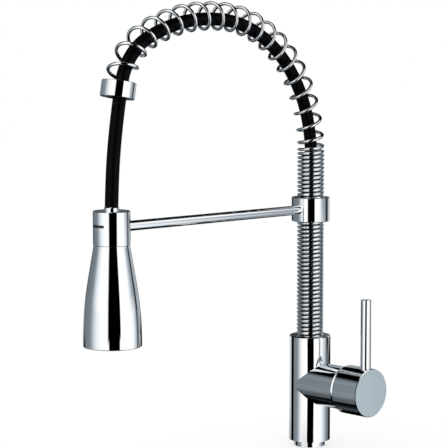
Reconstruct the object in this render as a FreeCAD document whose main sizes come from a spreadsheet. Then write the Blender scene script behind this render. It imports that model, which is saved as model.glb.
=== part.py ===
import FreeCAD, Part
import math
import os
from types import SimpleNamespace

import Sketcher

# Kitchen mixer tap with a side lever and a spring spout.
# The origin is the centre of the body's underside, where it sits on the worktop.
# +Z is up, the spout reaches towards -Y and the lever's branch points along +X.

# Driving dimensions, in millimetres and degrees.
SIZES = {
    # Fits between pieces
    "static_fit": 0.12,
    "running_fit": 0.08,
    "face_gap": 0.03,
    # Mixer body and its branch
    "body_diameter": 44.0,
    "body_height": 113.0,
    "body_chamfer": 0.8,
    "branch_diameter": 45.2,
    "branch_level": 61.5,
    "branch_reach": 49.7,
    "branch_chamfer": 0.5,
    "recess_diameter": 30.4,
    "recess_depth": 9.0,
    "swivel_bore_diameter": 26.0,
    "swivel_bore_depth": 22.0,
    "waterway_diameter": 7.5,
    "port_rise": 8.0,
    "port_drop": 6.0,
    "port_spread": 8.2,
    # Base ring with the fixing stud and the two inlets
    "base_bore_diameter": 30.0,
    "base_plug_height": 16.0,
    "spigot_diameter": 33.0,
    "spigot_drop": 6.5,
    "inlet_diameter": 9.0,
    "inlet_setback": 3.5,
    "stud_diameter": 6.8,
    "stud_offset": 9.5,
    "stud_depth": 15.0,
    "gasket_diameter": 41.0,
    "gasket_width": 2.2,
    "gasket_thickness": 2.0,
    # Ceramic cartridge in the branch
    "cartridge_bore_diameter": 36.2,
    "cartridge_seat": 16.7,
    "cartridge_cavity_diameter": 30.0,
    "cartridge_floor": 3.7,
    "cartridge_neck_diameter": 27.0,
    "cartridge_neck_bore": 22.2,
    "seal_diameter": 8.6,
    "seal_bore": 6.2,
    "seal_thickness": 1.1,
    "port_diameter": 5.2,
    "fixed_disc_thickness": 4.0,
    "moving_disc_diameter": 18.8,
    "moving_disc_thickness": 6.5,
    "disc_socket_diameter": 5.6,
    "disc_socket_depth": 4.0,
    "rotor_flange_thickness": 4.0,
    "rotor_neck_length": 9.5,
    "rotor_slot_below": 5.6,
    "rotor_slot_above": 9.0,
    "cartridge_shoulder": 2.0,
    "cartridge_nut_length": 9.0,
    "nut_slot_width": 3.0,
    "nut_slot_depth": 2.5,
    "pivot_reach": 41.7,
    "pivot_pin_diameter": 3.0,
    "pivot_pin_length": 20.0,
    "stem_width": 6.0,
    "stem_tail": 7.0,
    "tail_reach": 12.0,
    "tail_ball_diameter": 5.0,
    "tail_neck_diameter": 3.0,
    # Cover dome, hub and lever
    "dome_diameter": 48.0,
    "dome_wall": 1.6,
    "dome_mouth_angle": 38.0,
    "dome_spigot_wall": 1.7,
    "dome_spigot_length": 2.6,
    "hub_diameter": 50.8,
    "hub_rim": 53.7,
    "hub_face": 86.0,
    "hub_wall": 2.5,
    "hub_cavity_depth": 16.8,
    "hub_chamfer": 0.6,
    "stem_socket_depth": 10.0,
    "lever_diameter": 11.0,
    "lever_setback": 8.0,
    "lever_top": 159.0,
    "lever_foot": 9.0,
    "lever_chamfer": 0.5,
    "hub_screw_diameter": 5.0,
    "hub_screw_length": 10.0,
    "hub_screw_setback": 10.5,
    "hub_plug_length": 4.5,
    # Swivel spigot, its seals and its retaining screw
    "o_ring_section": 2.0,
    "o_ring_groove_width": 2.4,
    "lower_o_ring_level": 3.6,
    "upper_o_ring_level": 16.2,
    "retaining_groove_level": 10.0,
    "retaining_groove_width": 4.8,
    "retaining_groove_depth": 1.9,
    "swivel_screw_diameter": 5.0,
    "swivel_screw_tip_diameter": 3.8,
    "swivel_bush_thickness": 1.0,
    "swivel_flange_diameter": 30.0,
    "swivel_flange_thickness": 3.0,
    "spigot_bore_diameter": 10.0,
    # Riser tube, its guide and the hose's lower end
    "riser_diameter": 20.0,
    "riser_wall": 1.75,
    "riser_top": 306.0,
    "riser_socket_depth": 8.0,
    "guide_flange_thickness": 2.5,
    "guide_spigot_length": 8.0,
    "guide_bore_diameter": 13.8,
    "nipple_flange_thickness": 4.0,
    "nipple_length": 24.0,
    "nipple_diameter": 8.0,
    "nipple_bore_diameter": 5.6,
    "crimp_wall": 1.1,
    "crimp_length": 20.0,
    # Arch of the spout, from the column to the ferrule
    "arch_base": 309.5,
    "arch_radius": 140.0,
    "crown_length": 10.0,
    "far_radius": 190.0,
    "far_turn_angle": 26.6,
    "drop_radius": 65.0,
    "drop_turn_angle": 53.4,
    "ferrule_run": 12.0,
    # Spring wire and its winding
    "wire_diameter": 3.4,
    "coil_diameter": 28.8,
    "coil_end_diameter": 29.6,
    "close_pitch": 4.36,
    "open_pitch": 19.27,
    "spring_end_angle": 272.7,
    # Hose and its free drop
    "hose_diameter": 13.0,
    "hose_bore_diameter": 8.4,
    "hose_offset": 3.0,
    "hose_swing": 2.0,
    "drop_first_run": 25.0,
    "drop_end_gap": 0.3,
    # Ferrule at the spring's end
    "ferrule_diameter": 33.2,
    "ferrule_length": 15.6,
    "ferrule_wall": 1.1,
    "ferrule_floor": 3.5,
    "ferrule_chamfer": 0.4,
    "liner_bore_diameter": 19.8,
    "liner_wall": 2.0,
    "liner_flange_thickness": 1.5,
    "liner_flange_width": 2.6,
    # Arm that holds the spray head
    "collar_diameter": 40.4,
    "collar_height": 25.6,
    "collar_chamfer": 0.5,
    "collar_clearance": 0.2,
    "arm_level": 248.5,
    "arm_diameter": 10.0,
    "arm_chamfer": 0.5,
    "arm_screw_diameter": 5.0,
    "peg_diameter": 8.6,
    "peg_length": 8.6,
    "peg_chamfer": 1.0,
    "peg_tenon_diameter": 5.0,
    "peg_tenon_length": 9.0,
    # Spray head: neck, bell and what they hold
    "head_reach": 280.0,
    "neck_diameter": 35.6,
    "neck_wall": 2.5,
    "neck_bottom": 232.3,
    "neck_top": 264.5,
    "neck_cap": 2.7,
    "neck_chamfer": 0.6,
    "dock_gap": 0.6,
    "dock_bush_diameter": 12.8,
    "dock_bush_setback": 1.4,
    "dock_bush_floor": 1.0,
    "seam_gap": 0.4,
    "bell_top_diameter": 34.6,
    "bell_shoulder_diameter": 50.4,
    "bell_shoulder_level": 183.0,
    "bell_diameter": 56.8,
    "bell_rim_height": 9.5,
    "bell_bottom": 135.0,
    "bell_wall": 2.6,
    "bell_deck": 6.0,
    "bell_lip_wall": 2.0,
    "bell_tenon": 4.0,
    "bell_chamfer": 0.6,
    "fitting_diameter": 14.4,
    "fitting_top": 268.0,
    "fitting_tail_diameter": 10.4,
    "fitting_tail_length": 5.7,
    "fitting_bore_diameter": 8.0,
    "nut_width": 16.0,
    "nut_length": 5.2,
    "washer_thickness": 0.8,
    "diverter_diameter": 15.2,
    "diverter_bore_diameter": 7.2,
    "valve_length": 8.0,
    "valve_bore_diameter": 2.4,
    "flow_tube_diameter": 12.0,
    "flow_tube_bore": 8.0,
    "plate_recess": 1.4,
    "plate_thickness": 4.2,
    "plate_seal_thickness": 0.6,
    "plate_seal_width": 1.6,
    "nozzle_diameter": 2.5,
    "nozzle_proud": 0.5,
    "inner_ring_radius": 14.0,
    "outer_ring_radius": 20.5,
    "aerator_diameter": 18.0,
    "aerator_length": 14.0,
    "aerator_recess_diameter": 14.0,
    "aerator_recess_depth": 1.5,
    # Selector in the front of the neck
    "selector_level": 250.6,
    "selector_width": 14.5,
    "selector_height": 2.2,
    "selector_proud": 0.4,
    "selector_gap": 0.2,
    "selector_flange_width": 15.8,
    "selector_flange_height": 5.0,
    "selector_flange_thickness": 2.2,
    "selector_flange_reach": 12.8,
    "spindle_diameter": 5.0,
    "spindle_length": 13.4,
    "spindle_end_room": 2.0,
    "selector_spring_wall": 0.8,
}

# Counts and step sizes of repeated features.
INNER_NOZZLES = 12
OUTER_NOZZLES = 18
NUT_SIDES = 6
RAMP_TURNS = 3.2
COLUMN_STEP = 0.5
ARCH_STEP = 0.25
# Free drop of the hose: a point below the ferrule, then one above the head, as (outwards, up) steps.
DROP_FROM_FERRULE = (7.7, -50.7)
DROP_FROM_HEAD = (-1.0, 25.5)

UP = FreeCAD.Rotation()
ALONG_X = FreeCAD.Rotation(FreeCAD.Vector(0, 1, 0), 90)
ALONG_Y = FreeCAD.Rotation(FreeCAD.Vector(1, 0, 0), -90)
AGAINST_Y = FreeCAD.Rotation(FreeCAD.Vector(1, 0, 0), 90)
DOWN = FreeCAD.Rotation(FreeCAD.Vector(1, 0, 0), 180)


class Size:
    """A length or angle that keeps its formula in the sheet beside its present value."""

    def __init__(self, text, value):
        self.text = text
        self.value = value

    @staticmethod
    def of(item):
        return item if isinstance(item, Size) else Size(repr(float(item)), float(item))

    def joined(self, sign, other, value):
        return Size(f"({self.text} {sign} {Size.of(other).text})", value)

    def __add__(self, other):
        return self.joined("+", other, self.value + Size.of(other).value)

    def __sub__(self, other):
        return self.joined("-", other, self.value - Size.of(other).value)

    def __mul__(self, other):
        return self.joined("*", other, self.value * Size.of(other).value)

    def __truediv__(self, other):
        return self.joined("/", other, self.value / Size.of(other).value)

    def __neg__(self):
        return Size(f"(0 - {self.text})", -self.value)


def root(size):
    """Square root of a size."""
    return Size(f"sqrt({size.text})", math.sqrt(size.value))


def sine(angle):
    """Sine of an angle in degrees."""
    return Size(f"sin({angle.text})", math.sin(math.radians(angle.value)))


def cosine(angle):
    """Cosine of an angle in degrees."""
    return Size(f"cos({angle.text})", math.cos(math.radians(angle.value)))


doc = FreeCAD.newDocument("kitchen_mixer_tap")
sheet = doc.addObject("Spreadsheet::Sheet", "Sizes")
dim = SimpleNamespace()
for row, (name, value) in enumerate(SIZES.items(), start=1):
    sheet.set(f"A{row}", name)
    sheet.set(f"B{row}", str(value))
    sheet.setAlias(f"B{row}", name)
    setattr(dim, name, Size(f"Sizes.{name}", value))
doc.recompute()

nodes = {}


def bind(item, **sizes):
    """Tie properties of an object to formulas of the sheet."""
    for prop, size in sizes.items():
        item.setExpression(prop, Size.of(size).text)


def place(item, at, turn):
    """Put an object at a point given in sizes, turned by a fixed rotation."""
    point = [Size.of(part) for part in at]
    item.Placement = FreeCAD.Placement(FreeCAD.Vector(*[part.value for part in point]), turn)
    for axis, part in zip("xyz", point):
        item.setExpression(f"Placement.Base.{axis}", part.text)


def keep(label, item):
    """Give a finished sub-part its name and add it to the list of nodes."""
    item.Label = label
    nodes[label] = item
    return item


def arc_centre(start, end, radius, side):
    """Centre of an arc of under a half circle; side 1 puts it left of the way from start to end."""
    half = ((end[0] - start[0]) / 2, (end[1] - start[1]) / 2)
    chord = math.hypot(*half)
    rise = math.sqrt(radius ** 2 - chord ** 2) * side / chord
    return start[0] + half[0] - half[1] * rise, start[1] + half[1] + half[0] * rise


def draw_outline(sketch, outline):
    """Draw a closed outline of (x, y) corners; a corner with (radius, side) is reached by an arc."""
    corners = [(Size.of(corner[0]), Size.of(corner[1])) for corner in outline]
    count = len(corners)
    for index, corner in enumerate(outline):
        start = [part.value for part in corners[index - 1]]
        end = [part.value for part in corners[index]]
        first = FreeCAD.Vector(start[0], start[1], 0)
        last = FreeCAD.Vector(end[0], end[1], 0)
        if len(corner) == 2:
            sketch.addGeometry(Part.LineSegment(first, last), False)
            continue
        radius, side = corner[2]
        centre = FreeCAD.Vector(*arc_centre(start, end, radius.value, side), 0)
        angles = [math.atan2(point.y - centre.y, point.x - centre.x) for point in (first, last)]
        low, high = angles if side > 0 else angles[::-1]
        circle = Part.Circle(centre, FreeCAD.Vector(0, 0, 1), radius.value)
        sketch.addGeometry(Part.ArcOfCircle(circle, low, high if high > low else high + math.tau), False)
    for index, corner in enumerate(outline):
        after = (index + 1) % count
        tip = 1 if len(corner) == 3 and corner[2][1] < 0 else 2
        tail = 2 if len(outline[after]) == 3 and outline[after][2][1] < 0 else 1
        sketch.addConstraint(Sketcher.Constraint("Coincident", index, tip, after, tail))
        measures = [("DistanceX", (-1, 1, index, tip), corners[index][0])]
        measures.append(("DistanceY", (-1, 1, index, tip), corners[index][1]))
        if len(corner) == 3:
            measures.append(("Radius", (index,), corner[2][0]))
        for kind, where, part in measures:
            number = sketch.addConstraint(Sketcher.Constraint(kind, *where, part.value))
            sketch.setExpression(f"Constraints[{number}]", part.text)


def turned(label, outline, at=(0, 0, 0), turn=UP):
    """A lathe-turned body: an outline of (radius, height) corners revolved about its own Z axis."""
    body = doc.addObject("PartDesign::Body", label)
    sketch = body.newObject("Sketcher::SketchObject", label + "_outline")
    plane = next(item for item in body.Origin.OriginFeatures if item.Role == "XZ_Plane")
    sketch.AttachmentSupport = [(plane, "")]
    sketch.MapMode = "FlatFace"
    draw_outline(sketch, outline)
    lathe = body.newObject("PartDesign::Revolution", label + "_turn")
    lathe.Profile = sketch
    lathe.ReferenceAxis = (sketch, ["V_Axis"])
    lathe.Angle = 360
    place(body, at, turn)
    return body


def rod(label, diameter, length, at=(0, 0, 0), turn=UP):
    """A plain cylinder that starts at a point and runs along its own Z axis."""
    item = doc.addObject("Part::Cylinder", label)
    bind(item, Radius=Size.of(diameter) / 2, Height=length)
    place(item, at, turn)
    return item


def block(label, width, depth, height, at):
    """A box given by its lowest corner."""
    item = doc.addObject("Part::Box", label)
    bind(item, Length=width, Width=depth, Height=height)
    place(item, at, UP)
    return item


def joined(label, items):
    """Several solids fused into one."""
    item = doc.addObject("Part::MultiFuse", label)
    item.Shapes = items
    return item


def cut(label, base, tools):
    """A solid with one or more tools taken away."""
    item = doc.addObject("Part::Cut", label)
    item.Base = base
    item.Tool = tools[0] if len(tools) == 1 else joined(label + "_tools", tools)
    return item


def ring(bore, outside, bottom, top):
    """Outline of a plain ring between two radii."""
    return [(bore, bottom), (outside, bottom), (outside, top), (bore, top)]


# Levels that several pieces share
body_radius = dim.body_diameter / 2
branch = (0, 0, dim.branch_level)
recess_floor = dim.body_height - dim.recess_depth
swivel_floor = recess_floor - dim.swivel_bore_depth
upper_port = dim.branch_level + dim.port_rise
lower_port = dim.branch_level - dim.port_drop
screw_level = swivel_floor + dim.retaining_groove_level
fixed_disc_face = dim.cartridge_seat + dim.static_fit + dim.cartridge_floor
moving_disc_face = fixed_disc_face + dim.fixed_disc_thickness + dim.face_gap * 2
rotor_face = moving_disc_face + dim.moving_disc_thickness + dim.running_fit * 4
shoulder_face = rotor_face + dim.rotor_flange_thickness + dim.running_fit
housing_end = shoulder_face + dim.cartridge_shoulder
rotor_end = rotor_face + dim.rotor_flange_thickness + dim.rotor_neck_length
flange_bottom = recess_floor + dim.swivel_bush_thickness + dim.face_gap * 2
flange_top = flange_bottom + dim.swivel_flange_thickness
riser_foot = flange_top - dim.riser_socket_depth
head = (0, -dim.head_reach, 0)
neck_radius = dim.neck_diameter / 2
neck_inside = neck_radius - dim.neck_wall
ports = [(dim.port_spread, lower_port), (-dim.port_spread, lower_port), (Size.of(0), upper_port)]

# Mixer body: barrel and branch in one casting, bored for the swivel, the cartridge and the water
barrel = turned("barrel_blank", [
    (0, 0),
    (body_radius, 0),
    (body_radius, dim.body_height - dim.body_chamfer),
    (body_radius - dim.body_chamfer, dim.body_height),
    (0, dim.body_height),
])
branch_radius = dim.branch_diameter / 2
branch_blank = turned("branch_blank", [
    (0, 0),
    (branch_radius, 0),
    (branch_radius, dim.branch_reach - dim.branch_chamfer),
    (branch_radius - dim.branch_chamfer, dim.branch_reach),
    (0, dim.branch_reach),
], branch, ALONG_X)
body_tools = [
    rod("recess_cut", dim.recess_diameter, dim.recess_depth, (0, 0, recess_floor)),
    rod("swivel_cut", dim.swivel_bore_diameter, dim.swivel_bore_depth, (0, 0, swivel_floor)),
    rod("outlet_rise_cut", dim.waterway_diameter, swivel_floor - upper_port, (0, 0, upper_port)),
    rod("outlet_cut", dim.waterway_diameter, dim.cartridge_seat, (0, 0, upper_port), ALONG_X),
    rod("cartridge_cut", dim.cartridge_bore_diameter, dim.branch_reach - dim.cartridge_seat,
        (dim.cartridge_seat, 0, dim.branch_level), ALONG_X),
    rod("base_cut", dim.base_bore_diameter, dim.base_plug_height),
    turned("gasket_cut", ring(
        dim.gasket_diameter / 2 - dim.gasket_width - dim.static_fit,
        dim.gasket_diameter / 2 + dim.static_fit, Size.of(0), dim.gasket_thickness + dim.face_gap)),
    rod("swivel_screw_cut", dim.swivel_screw_diameter, dim.body_diameter,
        (0, 0, screw_level), ALONG_Y),
]
for side, sign in (("hot", 1), ("cold", -1)):
    spread = dim.port_spread * sign
    body_tools.append(rod(f"{side}_rise_cut", dim.waterway_diameter, lower_port,
                          (-dim.inlet_setback, spread, 0)))
    body_tools.append(rod(f"{side}_cut", dim.waterway_diameter, dim.cartridge_seat + dim.inlet_setback,
                          (-dim.inlet_setback, spread, lower_port), ALONG_X))
keep("mixer_body", cut("mixer_body", joined("body_blank", [barrel, branch_blank]), body_tools))

# Base ring: centring spigot below the body, with a plug that closes the body's foot
plug_radius = dim.base_bore_diameter / 2 - dim.static_fit
base_blank = turned("base_ring_blank", [
    (0, -dim.spigot_drop),
    (dim.spigot_diameter / 2, -dim.spigot_drop),
    (dim.spigot_diameter / 2, 0),
    (plug_radius, 0),
    (plug_radius, dim.base_plug_height - dim.face_gap),
    (0, dim.base_plug_height - dim.face_gap),
])
base_tools = [rod("stud_cut", dim.stud_diameter, dim.stud_depth,
                  (dim.stud_offset, 0, -dim.spigot_drop))]
for side, sign in (("hot", 1), ("cold", -1)):
    base_tools.append(rod(f"{side}_inlet_cut", dim.inlet_diameter, dim.spigot_drop + dim.base_plug_height,
                          (-dim.inlet_setback, dim.port_spread * sign, -dim.spigot_drop)))
keep("base_ring", cut("base_ring", base_blank, base_tools))

# Deck gasket: flat ring in a groove of the body's underside
keep("deck_gasket", turned("deck_gasket", ring(
    dim.gasket_diameter / 2 - dim.gasket_width, dim.gasket_diameter / 2, Size.of(0), dim.gasket_thickness)))

# Cartridge housing: cup with three ports in its floor and a neck that guides the rotor
housing_radius = dim.cartridge_bore_diameter / 2 - dim.static_fit
housing_floor = dim.cartridge_seat + dim.static_fit
cavity_radius = dim.cartridge_cavity_diameter / 2
housing_blank = turned("cartridge_housing_blank", [
    (0, housing_floor),
    (housing_radius, housing_floor),
    (housing_radius, housing_end),
    (dim.cartridge_neck_diameter / 2, housing_end),
    (dim.cartridge_neck_diameter / 2, rotor_end),
    (dim.cartridge_neck_bore / 2, rotor_end),
    (dim.cartridge_neck_bore / 2, shoulder_face),
    (cavity_radius, shoulder_face),
    (cavity_radius, fixed_disc_face),
    (0, fixed_disc_face),
], branch, ALONG_X)
housing_tools = []
seals = []
for number, (spread, level) in enumerate(ports, start=1):
    seat = (dim.cartridge_seat, spread, level)
    housing_tools.append(rod(f"port_cut_{number}", dim.port_diameter, dim.cartridge_floor * 2, seat, ALONG_X))
    housing_tools.append(rod(f"seal_cut_{number}", dim.seal_diameter + dim.static_fit,
                             dim.seal_thickness + dim.face_gap * 2, seat, ALONG_X))
    seals.append(turned(f"seal_{number}", ring(
        dim.seal_bore / 2, dim.seal_diameter / 2, dim.face_gap, dim.face_gap + dim.seal_thickness),
        seat, ALONG_X))
keep("cartridge_housing", cut("cartridge_housing", housing_blank, housing_tools))

# Cartridge seals: three rubber rings between the housing and its seat
seal_set = doc.addObject("Part::Compound", "cartridge_seals")
seal_set.Links = seals
keep("cartridge_seals", seal_set)

# Fixed ceramic disc: lies on the housing's floor over the ports
disc_blank = rod("fixed_disc_blank", dim.cartridge_cavity_diameter - dim.static_fit * 2, dim.fixed_disc_thickness,
                 (fixed_disc_face + dim.face_gap, 0, dim.branch_level), ALONG_X)
disc_tools = [rod(f"disc_port_cut_{number}", dim.port_diameter, dim.fixed_disc_thickness * 2,
                  (fixed_disc_face, spread, level), ALONG_X)
              for number, (spread, level) in enumerate(ports, start=1)]
keep("fixed_ceramic_disc", cut("fixed_ceramic_disc", disc_blank, disc_tools))

# Moving ceramic disc: slides on the fixed one, driven by the ball at the stem's tail
socket_floor = moving_disc_face + dim.moving_disc_thickness - dim.disc_socket_depth
keep("moving_ceramic_disc", turned("moving_ceramic_disc", [
    (0, moving_disc_face),
    (dim.moving_disc_diameter / 2, moving_disc_face),
    (dim.moving_disc_diameter / 2, moving_disc_face + dim.moving_disc_thickness),
    (dim.disc_socket_diameter / 2, moving_disc_face + dim.moving_disc_thickness),
    (dim.disc_socket_diameter / 2, socket_floor),
    (0, socket_floor),
], branch, ALONG_X))

# Cartridge rotor: turns in the housing's neck and carries the stem's pin in a slot
rotor_blank = turned("cartridge_rotor_blank", [
    (0, rotor_face),
    (cavity_radius - dim.running_fit, rotor_face),
    (cavity_radius - dim.running_fit, shoulder_face - dim.running_fit),
    (dim.cartridge_neck_bore / 2 - dim.running_fit, shoulder_face - dim.running_fit),
    (dim.cartridge_neck_bore / 2 - dim.running_fit, rotor_end),
    (0, rotor_end),
], branch, ALONG_X)
slot_width = dim.stem_width + dim.static_fit * 4
pin_start = (dim.pivot_reach, -dim.pivot_pin_length / 2, dim.branch_level)
keep("cartridge_rotor", cut("cartridge_rotor", rotor_blank, [
    block("rotor_slot_cut", rotor_end - rotor_face, slot_width, dim.rotor_slot_below + dim.rotor_slot_above,
          (rotor_face, -slot_width / 2, dim.branch_level - dim.rotor_slot_below)),
    rod("rotor_pin_cut", dim.pivot_pin_diameter + dim.face_gap * 2, dim.pivot_pin_length * 2,
        (dim.pivot_reach, -dim.pivot_pin_length, dim.branch_level), ALONG_Y),
]))

# Stem pivot pin: steel pin across the rotor, the axis of the lever's tilt
keep("stem_pivot_pin", rod("stem_pivot_pin", dim.pivot_pin_diameter, dim.pivot_pin_length, pin_start, ALONG_Y))

# Cartridge nut: holds the housing down, with two slots for a spanner
nut_start = housing_end + dim.face_gap
nut_end = nut_start + dim.cartridge_nut_length
nut_blank = turned("cartridge_nut_blank", ring(
    dim.cartridge_neck_diameter / 2 + dim.static_fit, housing_radius, nut_start, nut_end), branch, ALONG_X)
keep("cartridge_nut", cut("cartridge_nut", nut_blank, [block(
    "nut_slot_cut", dim.nut_slot_depth * 2, dim.cartridge_bore_diameter, dim.nut_slot_width,
    (nut_end - dim.nut_slot_depth, -dim.cartridge_bore_diameter / 2, dim.branch_level - dim.nut_slot_width / 2))]))

# Cover dome: ball-shaped ring about the tilt axis that closes the branch behind the hub
dome_radius = dim.dome_diameter / 2
dome_inside = dome_radius - dim.dome_wall
dome_foot = dim.branch_reach + dim.face_gap
dome_floor = dome_foot + dim.dome_wall
spigot_radius = dim.cartridge_bore_diameter / 2 - dim.static_fit
spigot_bore = spigot_radius - dim.dome_spigot_wall
dome_rise = dome_foot - dim.pivot_reach
floor_rise = dome_floor - dim.pivot_reach
mouth_sine = sine(dim.dome_mouth_angle)
mouth_cosine = cosine(dim.dome_mouth_angle)
keep("cover_dome", turned("cover_dome", [
    (spigot_bore, dome_foot - dim.dome_spigot_length),
    (spigot_radius, dome_foot - dim.dome_spigot_length),
    (spigot_radius, dome_foot),
    (root(dome_radius * dome_radius - dome_rise * dome_rise), dome_foot),
    (dome_radius * mouth_sine, dim.pivot_reach + dome_radius * mouth_cosine, (dome_radius, 1)),
    (dome_inside * mouth_sine, dim.pivot_reach + dome_inside * mouth_cosine),
    (root(dome_inside * dome_inside - floor_rise * floor_rise), dome_floor, (dome_inside, -1)),
    (spigot_bore, dome_floor),
], branch, ALONG_X))

# Swivel screw: dog-point screw at the back of the body that keeps the spout from lifting
groove_radius = dim.swivel_bore_diameter / 2 - dim.retaining_groove_depth
screw_tip = groove_radius + dim.static_fit * 3
screw_body = dim.swivel_bore_diameter / 2 + dim.static_fit
screw_radius = dim.swivel_screw_diameter / 2 - dim.face_gap
keep("swivel_screw", turned("swivel_screw", [
    (0, screw_tip),
    (dim.swivel_screw_tip_diameter / 2, screw_tip),
    (dim.swivel_screw_tip_diameter / 2, screw_body),
    (screw_radius, screw_body),
    (screw_radius, body_radius - dim.body_chamfer),
    (0, body_radius - dim.body_chamfer),
], (0, 0, screw_level), ALONG_Y))

# Cartridge stem: square bar on the pin, with a ball at its tail for the disc
stem_start = dim.pivot_reach - dim.stem_tail
stem_end = dim.hub_rim + dim.hub_cavity_depth + dim.stem_socket_depth - dim.static_fit
ball_place = (dim.pivot_reach - dim.tail_reach, 0, dim.branch_level)
ball = doc.addObject("Part::Sphere", "tail_ball")
bind(ball, Radius=dim.tail_ball_diameter / 2)
place(ball, ball_place, UP)
stem_blank = joined("stem_blank", [
    block("stem_bar", stem_end - stem_start, dim.stem_width, dim.stem_width,
          (stem_start, -dim.stem_width / 2, dim.branch_level - dim.stem_width / 2)),
    rod("tail_neck", dim.tail_neck_diameter, dim.tail_reach, ball_place, ALONG_X),
    ball,
])
keep("cartridge_stem", cut("cartridge_stem", stem_blank, [rod(
    "stem_pin_cut", dim.pivot_pin_diameter + dim.running_fit * 2, dim.stem_width * 2,
    (dim.pivot_reach, -dim.stem_width, dim.branch_level), ALONG_Y)]))

# Handle hub: drum over the dome, with a square socket for the stem and a hole for the lever
hub_radius = dim.hub_diameter / 2
hub_floor = dim.hub_rim + dim.hub_cavity_depth
lever_axis = dim.hub_face - dim.lever_setback
hub_screw_axis = dim.hub_face - dim.hub_screw_setback
socket_width = dim.stem_width + dim.static_fit
hub_blank = turned("handle_hub_blank", [
    (0, hub_floor),
    (hub_radius - dim.hub_wall, hub_floor),
    (hub_radius - dim.hub_wall, dim.hub_rim),
    (hub_radius - dim.hub_chamfer, dim.hub_rim),
    (hub_radius, dim.hub_rim + dim.hub_chamfer),
    (hub_radius, dim.hub_face - dim.hub_chamfer),
    (hub_radius - dim.hub_chamfer, dim.hub_face),
    (0, dim.hub_face),
], branch, ALONG_X)
keep("handle_hub", cut("handle_hub", hub_blank, [
    block("stem_socket_cut", dim.stem_socket_depth * 2, socket_width, socket_width,
          (hub_floor - dim.stem_socket_depth, -socket_width / 2, dim.branch_level - socket_width / 2)),
    rod("lever_cut", dim.lever_diameter + dim.static_fit, dim.hub_diameter,
        (lever_axis, 0, dim.branch_level + dim.lever_foot)),
    rod("hub_screw_cut", dim.hub_screw_diameter, dim.hub_diameter,
        (hub_screw_axis, 0, dim.branch_level), DOWN),
]))

# Lever rod: straight round bar that stands up from the hub
lever_radius = dim.lever_diameter / 2
lever_bottom = dim.branch_level + dim.lever_foot + dim.face_gap
keep("lever_rod", turned("lever_rod", [
    (0, lever_bottom),
    (lever_radius, lever_bottom),
    (lever_radius, dim.lever_top - dim.lever_chamfer),
    (lever_radius - dim.lever_chamfer, dim.lever_top),
    (0, dim.lever_top),
], (lever_axis, 0, 0)))

# Hub grub screw: clamps the hub to the stem from below; a small plug hides it
hub_screw_top = dim.stem_width / 2 + dim.static_fit
keep("hub_grub_screw", rod("hub_grub_screw", dim.hub_screw_diameter - dim.static_fit, dim.hub_screw_length,
                           (hub_screw_axis, 0, dim.branch_level - hub_screw_top), DOWN))
keep("hub_screw_plug", rod("hub_screw_plug", dim.hub_screw_diameter - dim.static_fit, dim.hub_plug_length,
                           (hub_screw_axis, 0, dim.branch_level - hub_radius + dim.static_fit)))

# Swivel spigot: turns in the body's bore, grooved for two seals and the retaining screw
swivel_radius = dim.swivel_bore_diameter / 2 - dim.running_fit
seal_groove = swivel_radius - dim.o_ring_section - dim.face_gap * 2
spigot_foot = swivel_floor + dim.static_fit * 4
bore_radius = dim.spigot_bore_diameter / 2
socket_radius = dim.riser_diameter / 2 + dim.static_fit / 2
grooves = [
    (swivel_floor + dim.lower_o_ring_level, dim.o_ring_groove_width, seal_groove),
    (screw_level, dim.retaining_groove_width, groove_radius),
    (swivel_floor + dim.upper_o_ring_level, dim.o_ring_groove_width, seal_groove),
]
spigot_outline = [(bore_radius, spigot_foot), (swivel_radius, spigot_foot)]
for level, width, depth in grooves:
    spigot_outline += [
        (swivel_radius, level - width / 2),
        (depth, level - width / 2),
        (depth, level + width / 2),
        (swivel_radius, level + width / 2),
    ]
spigot_outline += [
    (swivel_radius, flange_bottom),
    (dim.swivel_flange_diameter / 2, flange_bottom),
    (dim.swivel_flange_diameter / 2, flange_top),
    (socket_radius, flange_top),
    (socket_radius, riser_foot),
    (bore_radius, riser_foot),
]
keep("swivel_spigot", turned("swivel_spigot", spigot_outline))

# Swivel O-rings: two rubber rings in the spigot's grooves
o_rings = []
for number, level in enumerate((dim.lower_o_ring_level, dim.upper_o_ring_level), start=1):
    o_ring = doc.addObject("Part::Torus", f"o_ring_{number}")
    bind(o_ring, Radius1=seal_groove + dim.face_gap + dim.o_ring_section / 2, Radius2=dim.o_ring_section / 2)
    place(o_ring, (0, 0, swivel_floor + level), UP)
    o_rings.append(o_ring)
o_ring_pair = doc.addObject("Part::Compound", "swivel_o_rings")
o_ring_pair.Links = o_rings
keep("swivel_o_rings", o_ring_pair)

# Swivel bush: slippery washer between the spigot's flange and the body
keep("swivel_bush", turned("swivel_bush", ring(
    dim.swivel_bore_diameter / 2 + dim.face_gap, dim.swivel_flange_diameter / 2,
    recess_floor + dim.face_gap, recess_floor + dim.face_gap + dim.swivel_bush_thickness)))

# Riser tube: rigid pipe inside the close turns of the spring
riser_radius = dim.riser_diameter / 2
riser_inside = riser_radius - dim.riser_wall
keep("riser_tube", turned("riser_tube", ring(
    riser_inside, riser_radius, riser_foot + dim.face_gap, dim.riser_top)))

# Riser top guide: flanged plastic bush that keeps the hose off the pipe's edge
guide_floor = dim.riser_top + dim.face_gap
guide_bore = dim.guide_bore_diameter / 2
guide_spigot = riser_inside - dim.static_fit
keep("riser_top_guide", turned("riser_top_guide", [
    (guide_bore, dim.riser_top - dim.guide_spigot_length),
    (guide_spigot, dim.riser_top - dim.guide_spigot_length),
    (guide_spigot, guide_floor),
    (riser_radius, guide_floor),
    (riser_radius, guide_floor + dim.guide_flange_thickness),
    (guide_bore, guide_floor + dim.guide_flange_thickness),
]))

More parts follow.
